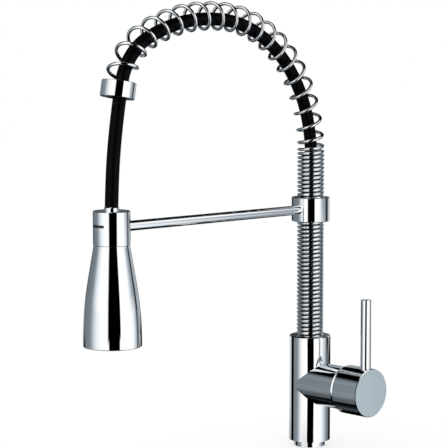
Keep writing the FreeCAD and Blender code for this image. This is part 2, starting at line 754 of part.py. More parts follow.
# Hose nipple: barb at the foot of the riser that the hose is pushed over
nipple_floor = riser_foot + dim.face_gap
hose_foot = nipple_floor + dim.nipple_flange_thickness + dim.face_gap
nipple_top = hose_foot + dim.nipple_length
keep("hose_nipple", turned("hose_nipple", [
    (dim.nipple_bore_diameter / 2, nipple_floor),
    (riser_inside - dim.static_fit, nipple_floor),
    (riser_inside - dim.static_fit, hose_foot - dim.face_gap),
    (dim.nipple_diameter / 2, hose_foot - dim.face_gap),
    (dim.nipple_diameter / 2, nipple_top),
    (dim.nipple_bore_diameter / 2, nipple_top),
]))

# Hose crimp sleeve: metal ring that grips the hose on the nipple
crimp_bore = dim.hose_diameter / 2 + dim.face_gap
keep("hose_crimp_sleeve", turned("hose_crimp_sleeve", ring(
    crimp_bore, crimp_bore + dim.crimp_wall, hose_foot, hose_foot + dim.crimp_length)))


class Route:
    """A level-plane route of straight runs and right-hand arcs that starts upright in the spout's plane."""

    def __init__(self, start, pieces):
        self.pieces = []
        self.length = 0.0
        outwards, up = start
        heading = 90.0
        for radius, amount in pieces:
            run = amount if radius is None else radius * math.radians(amount)
            self.pieces.append((self.length, run, radius, outwards, up, heading))
            outwards, up, heading = self.step(radius, run, outwards, up, heading)
            self.length += run
        self.end = (outwards, up, heading)

    @staticmethod
    def step(radius, run, outwards, up, heading):
        """Where a run or an arc leads after some way along it."""
        first = math.radians(heading)
        if radius is None:
            return outwards + run * math.cos(first), up + run * math.sin(first), heading
        last = first - run / radius
        return (outwards + radius * (math.sin(first) - math.sin(last)),
                up + radius * (math.cos(last) - math.cos(first)),
                math.degrees(last))

    def at(self, way):
        """Point and heading at some way along the route; the ends run on straight."""
        start, run, radius, outwards, up, heading = self.pieces[0]
        for piece in self.pieces:
            if piece[0] <= way:
                start, run, radius, outwards, up, heading = piece
        if way > self.length:
            return self.step(None, way - self.length, *self.end)
        return self.step(radius, way - start, outwards, up, heading)

    def edges(self):
        """The route as line and arc edges."""
        found = []
        for piece in self.pieces:
            run, radius, outwards, up, heading = piece[1:]
            first, middle, last = [
                in_plane(*self.step(radius, run * share, outwards, up, heading)[:2]) for share in (0, 0.5, 1)]
            curve = Part.LineSegment(first, last) if radius is None else Part.Arc(first, middle, last)
            found.append(curve.toShape())
        return found


def in_plane(outwards, up):
    """A point of the spout's plane, given by its reach from the column and its height."""
    return FreeCAD.Vector(0, -outwards, up)


def pipe_along(edges, direction, radii):
    """A hose swept along joined edges, from circles of its outer and inner radius."""
    start = edges[0].firstVertex().Point
    solids = []
    for radius in radii:
        circle = Part.Wire(Part.makeCircle(radius, start, direction))
        solids.append(Part.Wire(edges).makePipeShell([circle], True, False))
    return solids[0].cut(solids[1]).Solids[0]


size = {name: item.value for name, item in vars(dim).items()}

# Arch line that the spring follows: up the column, over the crown and down to the ferrule
# Each end of the wire runs out straight for one wire diameter, which takes it a little past its last turn
wire = size["wire_diameter"]
foot_run_out = wire * size["close_pitch"] / (math.pi * (size["coil_diameter"] - wire))
spring_foot = flange_top.value + wire / 2 + size["static_fit"] + foot_run_out
arch_turns = [
    (size["arch_radius"], 90.0),
    (None, size["crown_length"]),
    (size["far_radius"], size["far_turn_angle"]),
    (size["drop_radius"], size["drop_turn_angle"]),
    (None, size["ferrule_run"]),
]
spring_line = Route((0, spring_foot), [(None, size["arch_base"] - spring_foot)] + arch_turns)
ferrule_lean = 90.0 + spring_line.end[2]
ferrule_foot = in_plane(*spring_line.end[:2])
coil_column = size["arch_base"] - spring_foot


def coil_steps():
    """Way along the arch line at each small share of a turn, close on the column and open over the arch."""
    share = 1.0 / 64
    run_out = wire * size["open_pitch"] / (math.pi * (size["coil_end_diameter"] - wire))
    liner_top = size["ferrule_floor"] + size["face_gap"] + size["liner_flange_thickness"]
    seat = liner_top + size["static_fit"] + wire / 2 + run_out
    ways = [0.0]
    ramp_turn = None
    while ways[-1] < spring_line.length - seat:
        turn = (len(ways) - 1) * share
        if ramp_turn is None and ways[-1] >= coil_column:
            ramp_turn = turn
        opened = 0.0 if ramp_turn is None else min((turn - ramp_turn) / RAMP_TURNS, 1.0)
        opened = opened * opened * (3 - 2 * opened)
        pitch = size["close_pitch"] + (size["open_pitch"] - size["close_pitch"]) * opened
        ways.append(ways[-1] + pitch * share)
    return share, ways[:-1]


coil_share, coil_ways = coil_steps()
coil_turns = (len(coil_ways) - 1) * coil_share


def coil_point(turn):
    """Centre of the wire after some turns."""
    place_on = min(max(turn / coil_share, 0.0), len(coil_ways) - 1.001)
    index = int(place_on)
    way = coil_ways[index] + (coil_ways[index + 1] - coil_ways[index]) * (turn / coil_share - index)
    outwards, up, heading = spring_line.at(way)
    opened = max(0.0, (way - coil_column) / (spring_line.length - coil_column))
    across = size["coil_diameter"] + (size["coil_end_diameter"] - size["coil_diameter"]) * opened
    radius = (across - size["wire_diameter"]) / 2
    angle = math.radians(size["spring_end_angle"]) + math.tau * (coil_turns - turn)
    side = radius * math.sin(angle)
    lean = math.radians(heading)
    return FreeCAD.Vector(radius * math.cos(angle), -outwards - side * math.sin(lean), up - side * math.cos(lean))


def coil_tangent(turn):
    """Direction of the wire after some turns."""
    nudge = coil_share / 8
    return (coil_point(turn + nudge) - coil_point(turn - nudge)).normalize()


def arc_edge(start, tangent, end):
    """Arc that leaves start along a tangent and passes through end."""
    chord = end - start
    way = FreeCAD.Vector(chord).normalize()
    off = tangent - way * tangent.dot(way)
    lean = math.acos(max(-1.0, min(1.0, tangent.dot(way))))
    middle = start + chord * 0.5 + off.normalize() * (chord.Length / 2 * math.tan(lean / 2))
    return Part.Arc(start, middle, end).toShape()


def biarc(start, start_way, end, end_way):
    """Two arcs that join two points along their tangents."""
    chord = end - start
    both = chord.dot(start_way + end_way)
    bend = 2 * (1 - start_way.dot(end_way))
    reach = (math.sqrt(both * both + bend * chord.dot(chord)) - both) / bend
    joint = (start + end + (start_way - end_way) * reach) * 0.5
    first = arc_edge(start, start_way, joint)
    middle_way = (joint - start).normalize()
    turned_way = middle_way * (2 * middle_way.dot(start_way)) - start_way
    return [first, arc_edge(joint, turned_way, end)]


def coil_stops():
    """Turn counts where the wire's arcs begin and end: half turns on the column, quarters over the arch."""
    column_turns = next(index for index, way in enumerate(coil_ways) if way >= coil_column) * coil_share
    stops = [0.0]
    while stops[-1] < coil_turns - ARCH_STEP * 1.5:
        stops.append(stops[-1] + (COLUMN_STEP if stops[-1] < column_turns - 1 else ARCH_STEP))
    return stops + [coil_turns]


# Spring: one round wire, its two ends run out straight for one wire diameter
stops = coil_stops()
wire_edges = []
for first, last in zip(stops, stops[1:]):
    wire_edges += biarc(coil_point(first), coil_tangent(first), coil_point(last), coil_tangent(last))
wire_start = coil_point(stops[0])
wire_end = coil_point(stops[-1])
first_way = coil_tangent(stops[0])
last_way = coil_tangent(stops[-1])
wire_edges.insert(0, Part.LineSegment(wire_start - first_way * size["wire_diameter"], wire_start).toShape())
wire_edges.append(Part.LineSegment(wire_end, wire_end + last_way * size["wire_diameter"]).toShape())
shell = Part.BRepOffsetAPI.MakePipeShell(Part.Wire(wire_edges))
shell.add(Part.Wire(Part.makeCircle(size["wire_diameter"] / 2, wire_start - first_way * size["wire_diameter"],
                                    first_way)))
shell.build()
shell.makeSolid()
spring = doc.addObject("Part::Feature", "spring")
spring.Shape = shell.shape()
keep("spring", spring)

# Hose: rubber hose in the riser and along the inner side of the arch, to the ferrule's foot
hose_arch = size["arch_radius"] + size["hose_swing"]
hose_bend = size["arch_base"] + size["arch_radius"] - size["hose_offset"] - hose_arch
hose_line = Route((0, hose_foot.value), [
    (None, hose_bend - hose_foot.value),
    (hose_arch, 90.0),
    (None, size["crown_length"] - size["hose_swing"]),
    (size["far_radius"] - size["hose_offset"], size["far_turn_angle"]),
    (size["drop_radius"] - size["hose_offset"], size["drop_turn_angle"]),
    (None, size["ferrule_run"]),
])
hose_radii = [size["hose_diameter"] / 2, size["hose_bore_diameter"] / 2]
hose = doc.addObject("Part::Feature", "hose")
hose.Shape = pipe_along(hose_line.edges(), FreeCAD.Vector(0, 0, 1), hose_radii)
keep("hose", hose)

# Hose drop: the free stretch from the ferrule to the spray head
drop_start = hose_line.at(hose_line.length + size["face_gap"])[:2]
drop_end = (size["head_reach"], size["fitting_top"] + size["drop_end_gap"])
drop_points = [
    drop_start,
    hose_line.at(hose_line.length + size["drop_first_run"])[:2],
    (drop_start[0] + DROP_FROM_FERRULE[0], drop_start[1] + DROP_FROM_FERRULE[1]),
    (drop_end[0] + DROP_FROM_HEAD[0], drop_end[1] + DROP_FROM_HEAD[1]),
    drop_end,
]


def rounded_route(points):
    """Straight runs joined by tangent arcs as large as the runs allow."""
    corners = [in_plane(*point) for point in points]
    edges = []
    radii = []
    start = corners[0]
    for before, corner, after in zip(corners, corners[1:], corners[2:]):
        way_in = (corner - before).normalize()
        way_out = (after - corner).normalize()
        turn = way_in.getAngle(way_out)
        reach = 0.45 * min((corner - before).Length, (after - corner).Length)
        radii.append(reach / math.tan(turn / 2))
        first = corner - way_in * reach
        last = corner + way_out * reach
        edges.append(Part.LineSegment(start, first).toShape())
        edges.append(arc_edge(first, way_in, last))
        start = last
    edges.append(Part.LineSegment(start, corners[-1]).toShape())
    return edges, radii


drop_edges, drop_radii = rounded_route(drop_points)
drop_way = (in_plane(*drop_points[1]) - in_plane(*drop_points[0])).normalize()
drop = doc.addObject("Part::Feature", "hose_drop")
drop.Shape = pipe_along(drop_edges, drop_way, hose_radii)
keep("hose_drop", drop)

# Ferrule at the spring's end: sleeve over the last turn, with a floor that the hose passes through
ferrule_turn = FreeCAD.Rotation(FreeCAD.Vector(1, 0, 0), -ferrule_lean)
ferrule_radius = dim.ferrule_diameter / 2
liner_outside = dim.liner_bore_diameter / 2 + dim.liner_wall
ferrule_outline = [
    (liner_outside + dim.static_fit, 0),
    (ferrule_radius - dim.ferrule_chamfer, 0),
    (ferrule_radius, dim.ferrule_chamfer),
    (ferrule_radius, dim.ferrule_length - dim.ferrule_chamfer),
    (ferrule_radius - dim.ferrule_chamfer, dim.ferrule_length),
    (ferrule_radius - dim.ferrule_wall, dim.ferrule_length),
    (ferrule_radius - dim.ferrule_wall, dim.ferrule_floor),
    (liner_outside + dim.static_fit, dim.ferrule_floor),
]
ferrule_at = (ferrule_foot.x, ferrule_foot.y, ferrule_foot.z)
keep("spring_end_ferrule", turned("spring_end_ferrule", ferrule_outline, ferrule_at, ferrule_turn))

# Ferrule liner: plastic bush in the ferrule's floor that the spring stands on and the hose rubs against
liner_step = dim.ferrule_floor + dim.face_gap
keep("ferrule_liner", turned("ferrule_liner", [
    (dim.liner_bore_diameter / 2, 0),
    (liner_outside, 0),
    (liner_outside, liner_step),
    (liner_outside + dim.liner_flange_width, liner_step),
    (liner_outside + dim.liner_flange_width, liner_step + dim.liner_flange_thickness),
    (dim.liner_bore_diameter / 2, liner_step + dim.liner_flange_thickness),
], ferrule_at, ferrule_turn))

# Arm collar: ring clamped round the column, bored at the front for the arm and at the back for a screw
collar_bore = dim.coil_diameter / 2 + dim.collar_clearance
collar_radius = dim.collar_diameter / 2
collar_bottom = dim.arm_level - dim.collar_height / 2
collar_top = dim.arm_level + dim.collar_height / 2
collar_blank = turned("arm_collar_blank", [
    (collar_bore, collar_bottom),
    (collar_radius - dim.collar_chamfer, collar_bottom),
    (collar_radius, collar_bottom + dim.collar_chamfer),
    (collar_radius, collar_top - dim.collar_chamfer),
    (collar_radius - dim.collar_chamfer, collar_top),
    (collar_bore, collar_top),
])
keep("arm_collar", cut("arm_collar", collar_blank, [
    rod("arm_cut", dim.arm_diameter + dim.static_fit, dim.collar_diameter, (0, 0, dim.arm_level), AGAINST_Y),
    rod("arm_screw_cut", dim.arm_screw_diameter, dim.collar_diameter, (0, 0, dim.arm_level), ALONG_Y),
]))

# Collar grub screw: presses on the spring and the riser from the back
arm_foot = collar_bore + dim.collar_clearance
keep("collar_grub_screw", rod("collar_grub_screw", dim.arm_screw_diameter - dim.static_fit,
                              collar_radius - arm_foot - dim.collar_chamfer,
                              (0, arm_foot, dim.arm_level), ALONG_Y))

# Support arm: level rod from the collar to the back of the spray head, bored for the peg
arm_end = dim.head_reach - neck_radius - dim.dock_gap
arm_radius = dim.arm_diameter / 2
tenon_bore = dim.peg_tenon_diameter / 2 + dim.static_fit / 2
tenon_floor = arm_end - dim.peg_tenon_length - dim.static_fit
keep("support_arm", turned("support_arm", [
    (0, arm_foot),
    (arm_radius, arm_foot),
    (arm_radius, arm_end - dim.arm_chamfer),
    (arm_radius - dim.arm_chamfer, arm_end),
    (tenon_bore, arm_end),
    (tenon_bore, tenon_floor),
    (0, tenon_floor),
], (0, 0, dim.arm_level), AGAINST_Y))

# Dock peg: plastic peg at the arm's tip that the spray head hangs on
peg_radius = dim.peg_diameter / 2
peg_foot = arm_end + dim.face_gap
peg_tip = peg_foot + dim.peg_length
keep("dock_peg", turned("dock_peg", [
    (0, peg_foot - dim.peg_tenon_length),
    (dim.peg_tenon_diameter / 2, peg_foot - dim.peg_tenon_length),
    (dim.peg_tenon_diameter / 2, peg_foot),
    (peg_radius, peg_foot),
    (peg_radius, peg_tip - dim.peg_chamfer),
    (peg_radius - dim.peg_chamfer, peg_tip),
    (0, peg_tip),
], (0, 0, dim.arm_level), AGAINST_Y))

# Neck shell: capped cylinder at the top of the spray head
slot_room = dim.selector_gap * 2
slot_height = dim.selector_height + slot_room
neck_blank = turned("neck_shell_blank", [
    (neck_inside, dim.neck_bottom),
    (neck_radius, dim.neck_bottom),
    (neck_radius, dim.neck_top - dim.neck_chamfer),
    (neck_radius - dim.neck_chamfer, dim.neck_top),
    (dim.fitting_diameter / 2 + dim.static_fit, dim.neck_top),
    (dim.fitting_diameter / 2 + dim.static_fit, dim.neck_top - dim.neck_cap),
    (neck_inside, dim.neck_top - dim.neck_cap),
], head)
keep("neck_shell", cut("neck_shell", neck_blank, [
    rod("dock_cut", dim.dock_bush_diameter + dim.static_fit, dim.neck_diameter,
        (0, -dim.head_reach, dim.arm_level), ALONG_Y),
    block("selector_cut", dim.selector_width + slot_room, neck_radius, slot_height,
          (-(dim.selector_width + slot_room) / 2, -dim.head_reach - neck_radius - dim.selector_proud,
           dim.selector_level - slot_height / 2)),
]))

# Dock socket bush: blind bush in the back of the neck that takes the peg
bush_start = arm_end + dim.dock_gap + dim.dock_bush_setback
bush_bore = peg_radius + dim.running_fit
bush_floor = peg_tip + dim.static_fit * 2
keep("dock_socket_bush", turned("dock_socket_bush", [
    (bush_bore, bush_start),
    (dim.dock_bush_diameter / 2, bush_start),
    (dim.dock_bush_diameter / 2, bush_floor + dim.dock_bush_floor),
    (0, bush_floor + dim.dock_bush_floor),
    (0, bush_floor),
    (bush_bore, bush_floor),
], (0, 0, dim.arm_level), AGAINST_Y))

# Bell shell: flared lower part of the spray head, with a deck that carries the diverter
bell_top = dim.neck_bottom - dim.seam_gap
bell_radius = dim.bell_diameter / 2
shoulder_radius = dim.bell_shoulder_diameter / 2
flare_width = bell_radius - shoulder_radius
flare_end = dim.bell_bottom + dim.bell_rim_height
flare_drop = dim.bell_shoulder_level - flare_end
flare_radius = (flare_width * flare_width + flare_drop * flare_drop) / (flare_width * 2)
tenon_radius = neck_inside - dim.static_fit
tenon_top = dim.neck_bottom + dim.bell_tenon
deck_hole = dim.flow_tube_diameter / 2 + dim.static_fit
lip_bore = bell_radius - dim.bell_lip_wall
plate_top = dim.bell_bottom + dim.plate_recess + dim.plate_thickness
seal_top = plate_top + dim.plate_seal_thickness + dim.face_gap * 2
ledge_bore = lip_bore - dim.plate_seal_width
keep("bell_shell", turned("bell_shell", [
    (bell_radius - dim.bell_chamfer, dim.bell_bottom),
    (bell_radius, dim.bell_bottom + dim.bell_chamfer),
    (bell_radius, flare_end),
    (shoulder_radius, dim.bell_shoulder_level, (flare_radius, 1)),
    (dim.bell_top_diameter / 2, bell_top),
    (tenon_radius, bell_top),
    (tenon_radius, tenon_top),
    (deck_hole, tenon_top),
    (deck_hole, bell_top - dim.bell_deck),
    (dim.bell_top_diameter / 2 - dim.bell_wall, bell_top - dim.bell_deck),
    (shoulder_radius - dim.bell_wall, dim.bell_shoulder_level),
    (ledge_bore, flare_end),
    (ledge_bore, seal_top),
    (lip_bore, seal_top),
    (lip_bore, dim.bell_bottom),
], head))

# Diverter housing: brass block on the bell's deck, bored for the water and the selector's spindle
diverter_floor = tenon_top + dim.face_gap
diverter_top = dim.neck_top - dim.neck_cap - dim.fitting_tail_length - dim.washer_thickness - dim.face_gap * 2
diverter_radius = dim.diverter_diameter / 2
diverter_bore = dim.diverter_bore_diameter / 2
spindle_start = dim.selector_flange_reach - dim.selector_flange_thickness - dim.face_gap
spindle_tip = spindle_start - dim.spindle_length
spindle_room = spindle_tip - dim.spindle_end_room
diverter_blank = turned("diverter_housing_blank", ring(
    diverter_bore, diverter_radius, diverter_floor, diverter_top), head)
keep("diverter_housing", cut("diverter_housing", diverter_blank, [rod(
    "spindle_cut", dim.spindle_diameter + dim.running_fit * 2, diverter_radius - spindle_room,
    (0, -dim.head_reach - spindle_room, dim.selector_level), AGAINST_Y)]))

# Check valve: small insert in the diverter's bore, below the spindle
valve_floor = diverter_floor + dim.static_fit
keep("check_valve", turned("check_valve", ring(
    dim.valve_bore_diameter / 2, diverter_bore - dim.static_fit, valve_floor, valve_floor + dim.valve_length), head))

# Hose washer, end fitting and connector nut: the joint between the hose and the spray head
washer_floor = diverter_top + dim.face_gap
washer_top = washer_floor + dim.washer_thickness
tail_radius = dim.fitting_tail_diameter / 2
fitting_bore = dim.fitting_bore_diameter / 2
fitting_radius = dim.fitting_diameter / 2
tail_floor = washer_top + dim.face_gap
fitting_floor = tail_floor + dim.fitting_tail_length
keep("hose_washer", turned("hose_washer", ring(fitting_bore, tail_radius, washer_floor, washer_top), head))
keep("hose_end_fitting", turned("hose_end_fitting", [
    (fitting_bore, tail_floor),
    (tail_radius, tail_floor),
    (tail_radius, fitting_floor),
    (fitting_radius, fitting_floor),
    (fitting_radius, dim.fitting_top - dim.neck_chamfer),
    (fitting_radius - dim.neck_chamfer, dim.fitting_top),
    (fitting_bore, dim.fitting_top),
], head))
nut_bar = doc.addObject("Part::Prism", "connector_nut_bar")
nut_bar.Polygon = NUT_SIDES
bind(nut_bar, Circumradius=dim.nut_width / 2 / cosine(Size.of(180 / NUT_SIDES)), Height=dim.nut_length)
place(nut_bar, (0, -dim.head_reach, tail_floor), UP)
keep("connector_nut", cut("connector_nut", nut_bar, [rod(
    "connector_nut_cut", dim.fitting_tail_diameter + dim.static_fit, dim.nut_length * 2,
    (0, -dim.head_reach, tail_floor - dim.nut_length / 2))]))

# Spray plate: face plate at the bell's mouth with two rings of nozzles round the aerator
plate_floor = dim.bell_bottom + dim.plate_recess
nozzle_places = []
for ring_radius, count in ((dim.inner_ring_radius, INNER_NOZZLES), (dim.outer_ring_radius, OUTER_NOZZLES)):
    for number in range(count):
        angle = Size.of(360.0 * number / count)
        nozzle_places.append((ring_radius * cosine(angle), ring_radius * sine(angle) - dim.head_reach))
plate_blank = turned("spray_plate_blank", ring(
    dim.aerator_diameter / 2 + dim.static_fit, lip_bore - dim.static_fit, plate_floor, plate_top), head)
nozzle_height = dim.plate_thickness + dim.nozzle_proud
plate_tools = []
nozzles = []
for number, (across, along) in enumerate(nozzle_places, start=1):
    foot = (across, along, plate_floor - dim.nozzle_proud)
    plate_tools.append(rod(f"nozzle_cut_{number}", dim.nozzle_diameter + dim.static_fit, nozzle_height * 2, foot))
    nozzles.append(rod(f"nozzle_{number}", dim.nozzle_diameter, nozzle_height, foot))
keep("spray_plate", cut("spray_plate", plate_blank, plate_tools))

# Spray nozzles: soft rubber tips in the plate's holes
nozzle_set = doc.addObject("Part::Compound", "spray_nozzles")
nozzle_set.Links = nozzles
keep("spray_nozzles", nozzle_set)

# Spray plate seal: flat ring between the plate and the bell's ledge
keep("spray_plate_seal", turned("spray_plate_seal", ring(
    ledge_bore, lip_bore - dim.static_fit, plate_top + dim.face_gap,
    plate_top + dim.face_gap + dim.plate_seal_thickness), head))

# Aerator: insert in the middle of the plate that the flow tube feeds
aerator_floor = plate_floor - dim.nozzle_proud
aerator_top = aerator_floor + dim.aerator_length
recess_top = aerator_floor + dim.aerator_recess_depth
keep("aerator", turned("aerator", [
    (dim.aerator_recess_diameter / 2, aerator_floor),
    (dim.aerator_diameter / 2, aerator_floor),
    (dim.aerator_diameter / 2, aerator_top),
    (0, aerator_top),
    (0, recess_top),
    (dim.aerator_recess_diameter / 2, recess_top),
], head))

# Flow tube: carries the water from the diverter down to the aerator
keep("flow_tube", turned("flow_tube", ring(
    dim.flow_tube_bore / 2, dim.flow_tube_diameter / 2, aerator_top + dim.face_gap, tenon_top), head))

# Selector bar: thin push bar in the neck's front slot, with a flange that keeps it in
bar_round = rod("selector_bar_round", dim.neck_diameter + dim.selector_proud * 2, dim.selector_height,
                (0, -dim.head_reach, dim.selector_level - dim.selector_height / 2))
bar_front = neck_radius + dim.selector_proud
bar_block = block("selector_bar_block", dim.selector_width, bar_front - dim.selector_flange_reach,
                  dim.selector_height,
                  (-dim.selector_width / 2, -dim.head_reach - bar_front,
                   dim.selector_level - dim.selector_height / 2))
bar_nose = doc.addObject("Part::Common", "selector_bar_nose")
bar_nose.Base = bar_round
bar_nose.Tool = bar_block
bar_flange = block("selector_bar_flange", dim.selector_flange_width, dim.selector_flange_thickness,
                   dim.selector_flange_height,
                   (-dim.selector_flange_width / 2, -dim.head_reach - dim.selector_flange_reach,
                    dim.selector_level - dim.selector_flange_height / 2))
keep("selector_bar", joined("selector_bar", [bar_nose, bar_flange]))

# Diverter spindle: plunger behind the bar that switches the water between stream and spray
keep("diverter_spindle", rod("diverter_spindle", dim.spindle_diameter, dim.spindle_length,
                             (0, -dim.head_reach - spindle_tip, dim.selector_level), AGAINST_Y))

# Selector spring: return spring round the spindle, as a plain sleeve of its outer size
spring_bore = dim.spindle_diameter / 2 + dim.static_fit
keep("selector_spring", turned("selector_spring", ring(
    spring_bore, spring_bore + dim.selector_spring_wall,
    diverter_radius + dim.face_gap, spindle_start), (0, -dim.head_reach, dim.selector_level), AGAINST_Y))

doc.recompute()

# Every object and every sub-part has to be sound before anything is written
for item in doc.Objects:
    if {"Invalid", "Error"} & set(item.State):
        raise RuntimeError(f"{item.Label} failed: {item.State}")
for label, item in nodes.items():
    if item.Shape.isNull() or not item.Shape.isValid() or not item.Shape.Solids:
        raise RuntimeError(f"{label} is not a sound solid")


def least_self_gap():
    """Least clear gap between turns of the spring's wire, measured on points along its centre line."""
    steps = 24
    points = [coil_point(turn / steps) for turn in range(int(coil_turns * steps))]
    least = math.inf
    for index, point in enumerate(points):
        for other in points[index + steps // 2:index + 2 * steps]:
            least = min(least, point.distanceToPoint(other))
    return least - size["wire_diameter"]


section = math.pi * (hose_radii[0] ** 2 - hose_radii[1] ** 2)
print("spring turns", round(coil_turns, 2), "least gap to itself", round(least_self_gap(), 3))
print("spring volume over section times length", round(
    spring.Shape.Volume / (math.pi * size["wire_diameter"] ** 2 / 4 * sum(edge.Length for edge in wire_edges)), 5))
print("hose volume over section times length", round(hose.Shape.Volume / (section * hose_line.length), 5))
print("hose drop radii", [round(radius) for radius in drop_radii], "length",
      round(sum(edge.Length for edge in drop_edges), 2))
print("hose drop volume over section times length", round(
    drop.Shape.Volume / (section * sum(edge.Length for edge in drop_edges)), 5))
print("hose drop points", [(round(out, 2), round(up, 2)) for out, up in drop_points])

os.makedirs("parts", exist_ok=True)
for label, item in nodes.items():
    item.Shape.exportStep(f"parts/{label}.step")
print(len(nodes), "nodes written")
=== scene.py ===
import math

import bmesh
import bpy
from mathutils import Matrix, Vector


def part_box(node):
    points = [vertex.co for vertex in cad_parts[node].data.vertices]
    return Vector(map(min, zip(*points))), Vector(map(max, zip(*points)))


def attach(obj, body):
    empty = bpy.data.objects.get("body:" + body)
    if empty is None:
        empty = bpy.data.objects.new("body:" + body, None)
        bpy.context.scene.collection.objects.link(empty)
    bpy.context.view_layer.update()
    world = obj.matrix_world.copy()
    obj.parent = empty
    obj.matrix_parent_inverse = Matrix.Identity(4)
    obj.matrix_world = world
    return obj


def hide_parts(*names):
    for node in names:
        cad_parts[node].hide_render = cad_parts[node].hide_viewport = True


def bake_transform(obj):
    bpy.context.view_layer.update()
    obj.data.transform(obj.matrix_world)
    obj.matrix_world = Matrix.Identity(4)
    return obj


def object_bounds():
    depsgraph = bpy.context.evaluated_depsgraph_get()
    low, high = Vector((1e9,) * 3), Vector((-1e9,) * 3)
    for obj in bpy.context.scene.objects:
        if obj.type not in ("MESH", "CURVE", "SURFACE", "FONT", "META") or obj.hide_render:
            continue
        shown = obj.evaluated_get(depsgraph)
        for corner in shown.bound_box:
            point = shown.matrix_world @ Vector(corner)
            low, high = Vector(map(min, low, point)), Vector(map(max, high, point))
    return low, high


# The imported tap: its solids, bodies and joints, to which every piece below is fitted
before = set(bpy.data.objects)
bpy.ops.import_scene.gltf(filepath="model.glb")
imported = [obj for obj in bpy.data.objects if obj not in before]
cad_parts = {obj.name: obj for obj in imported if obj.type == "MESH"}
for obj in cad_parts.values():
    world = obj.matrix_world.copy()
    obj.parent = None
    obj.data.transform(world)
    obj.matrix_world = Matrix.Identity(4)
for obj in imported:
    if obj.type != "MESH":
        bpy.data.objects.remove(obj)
cad_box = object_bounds()
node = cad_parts

# Camera: a long lens a little above the tap, turned so that the lever's hub faces half towards it.
# It looks down by a few degrees, and the column stands right of the middle of the picture.
VIEW_TURN = math.radians(45.14)
VIEW_DROP = math.radians(5.68)
CAMERA_AWAY = 1.7588
CAMERA_ASIDE = 0.0922
CAMERA_LEVEL = 0.40715
SENSOR_MM = 36
LENS_MM = 133.3
towards_camera = Vector((math.sin(VIEW_TURN), -math.cos(VIEW_TURN), 0))
rightwards = Vector((math.cos(VIEW_TURN), math.sin(VIEW_TURN), 0))
camera_data = bpy.data.cameras.new("camera")
camera_data.sensor_width = SENSOR_MM
camera_data.lens = LENS_MM
camera = bpy.data.objects.new("camera", camera_data)
camera.location = (towards_camera * CAMERA_AWAY - rightwards * CAMERA_ASIDE
                   + Vector((0, 0, CAMERA_LEVEL)))
sight = -towards_camera * math.cos(VIEW_DROP) - Vector((0, 0, math.sin(VIEW_DROP)))
camera.rotation_euler = sight.to_track_quat("-Z", "Y").to_euler()
bpy.context.scene.collection.objects.link(camera)
bpy.context.scene.camera = camera
bpy.context.scene.view_settings.view_transform = "Standard"

# Studio floor: a seamless white table, on which the tap stands on its spigot.
# Paper white all over, with a faint soft shadow under the body. Metal looks past it into the tent.
def linear(hex_colour):
    """sRGB hex to a linear colour with alpha."""
    parts = [int(hex_colour[at:at + 2], 16) / 255 for at in (1, 3, 5)]
    return [p / 12.92 if p <= 0.04045 else ((p + 0.055) / 1.055) ** 2.4 for p in parts] + [1.0]


def add_node(tree, kind, settings=None, **inputs):
    """Adds a node; each input is a value or another node's output socket."""
    made = tree.nodes.new(kind)
    for name, value in (settings or {}).items():
        setattr(made, name, value)
    for name, value in inputs.items():
        numbered = name[0] == "i" and name[1:].isdigit()
        socket = made.inputs[int(name[1:]) if numbered else name.replace("_", " ")]
        if isinstance(value, bpy.types.NodeSocket):
            tree.links.new(value, socket)
        else:
            socket.default_value = value
    return made


def blank_material(name):
    """A material with an empty tree and its output."""
    material = bpy.data.materials.new(name)
    material.use_nodes = True
    material.node_tree.nodes.clear()
    return material, material.node_tree, material.node_tree.nodes.new("ShaderNodeOutputMaterial")


def put_in_scene(name, mesh, *materials):
    """An object of that mesh, linked to the scene."""
    item = bpy.data.objects.new(name, mesh)
    for material in materials:
        mesh.materials.append(material)
    bpy.context.scene.collection.objects.link(item)
    return item


FLOOR_REACH = 6.0
FLOOR_GLOW = 0.75
floor_level = cad_box[0][2]
floor_paper, tree, output = blank_material("white_paper_table")
path = add_node(tree, "ShaderNodeLightPath")
through = add_node(tree, "ShaderNodeMath", {"operation": "MAXIMUM"},
                   i0=path.outputs["Is Glossy Ray"], i1=path.outputs["Is Transmission Ray"])
seen = add_node(tree, "ShaderNodeMath", {"operation": "MAXIMUM"},
                i0=path.outputs["Is Camera Ray"], i1=through.outputs[0])
share = add_node(tree, "ShaderNodeMath", {"operation": "MULTIPLY"},
                 i0=seen.outputs[0], i1=FLOOR_GLOW)
paper = add_node(tree, "ShaderNodeBsdfDiffuse", Color=linear("#FFFFFF"))
glow = add_node(tree, "ShaderNodeEmission", Color=linear("#FFFFFF"), Strength=1.0)
mixed = add_node(tree, "ShaderNodeMixShader", Fac=share.outputs[0], i1=paper.outputs[0],
                 i2=glow.outputs[0])
tree.links.new(mixed.outputs[0], output.inputs["Surface"])
floor_mesh = bpy.data.meshes.new("studio_floor")
floor_mesh.from_pydata([(x * FLOOR_REACH, y * FLOOR_REACH, floor_level)
                        for x, y in ((-1, -1), (1, -1), (1, 1), (-1, 1))], [], [(0, 1, 2, 3)])
studio_floor = put_in_scene("studio_floor", floor_mesh, floor_paper)
studio_floor.visible_glossy = False

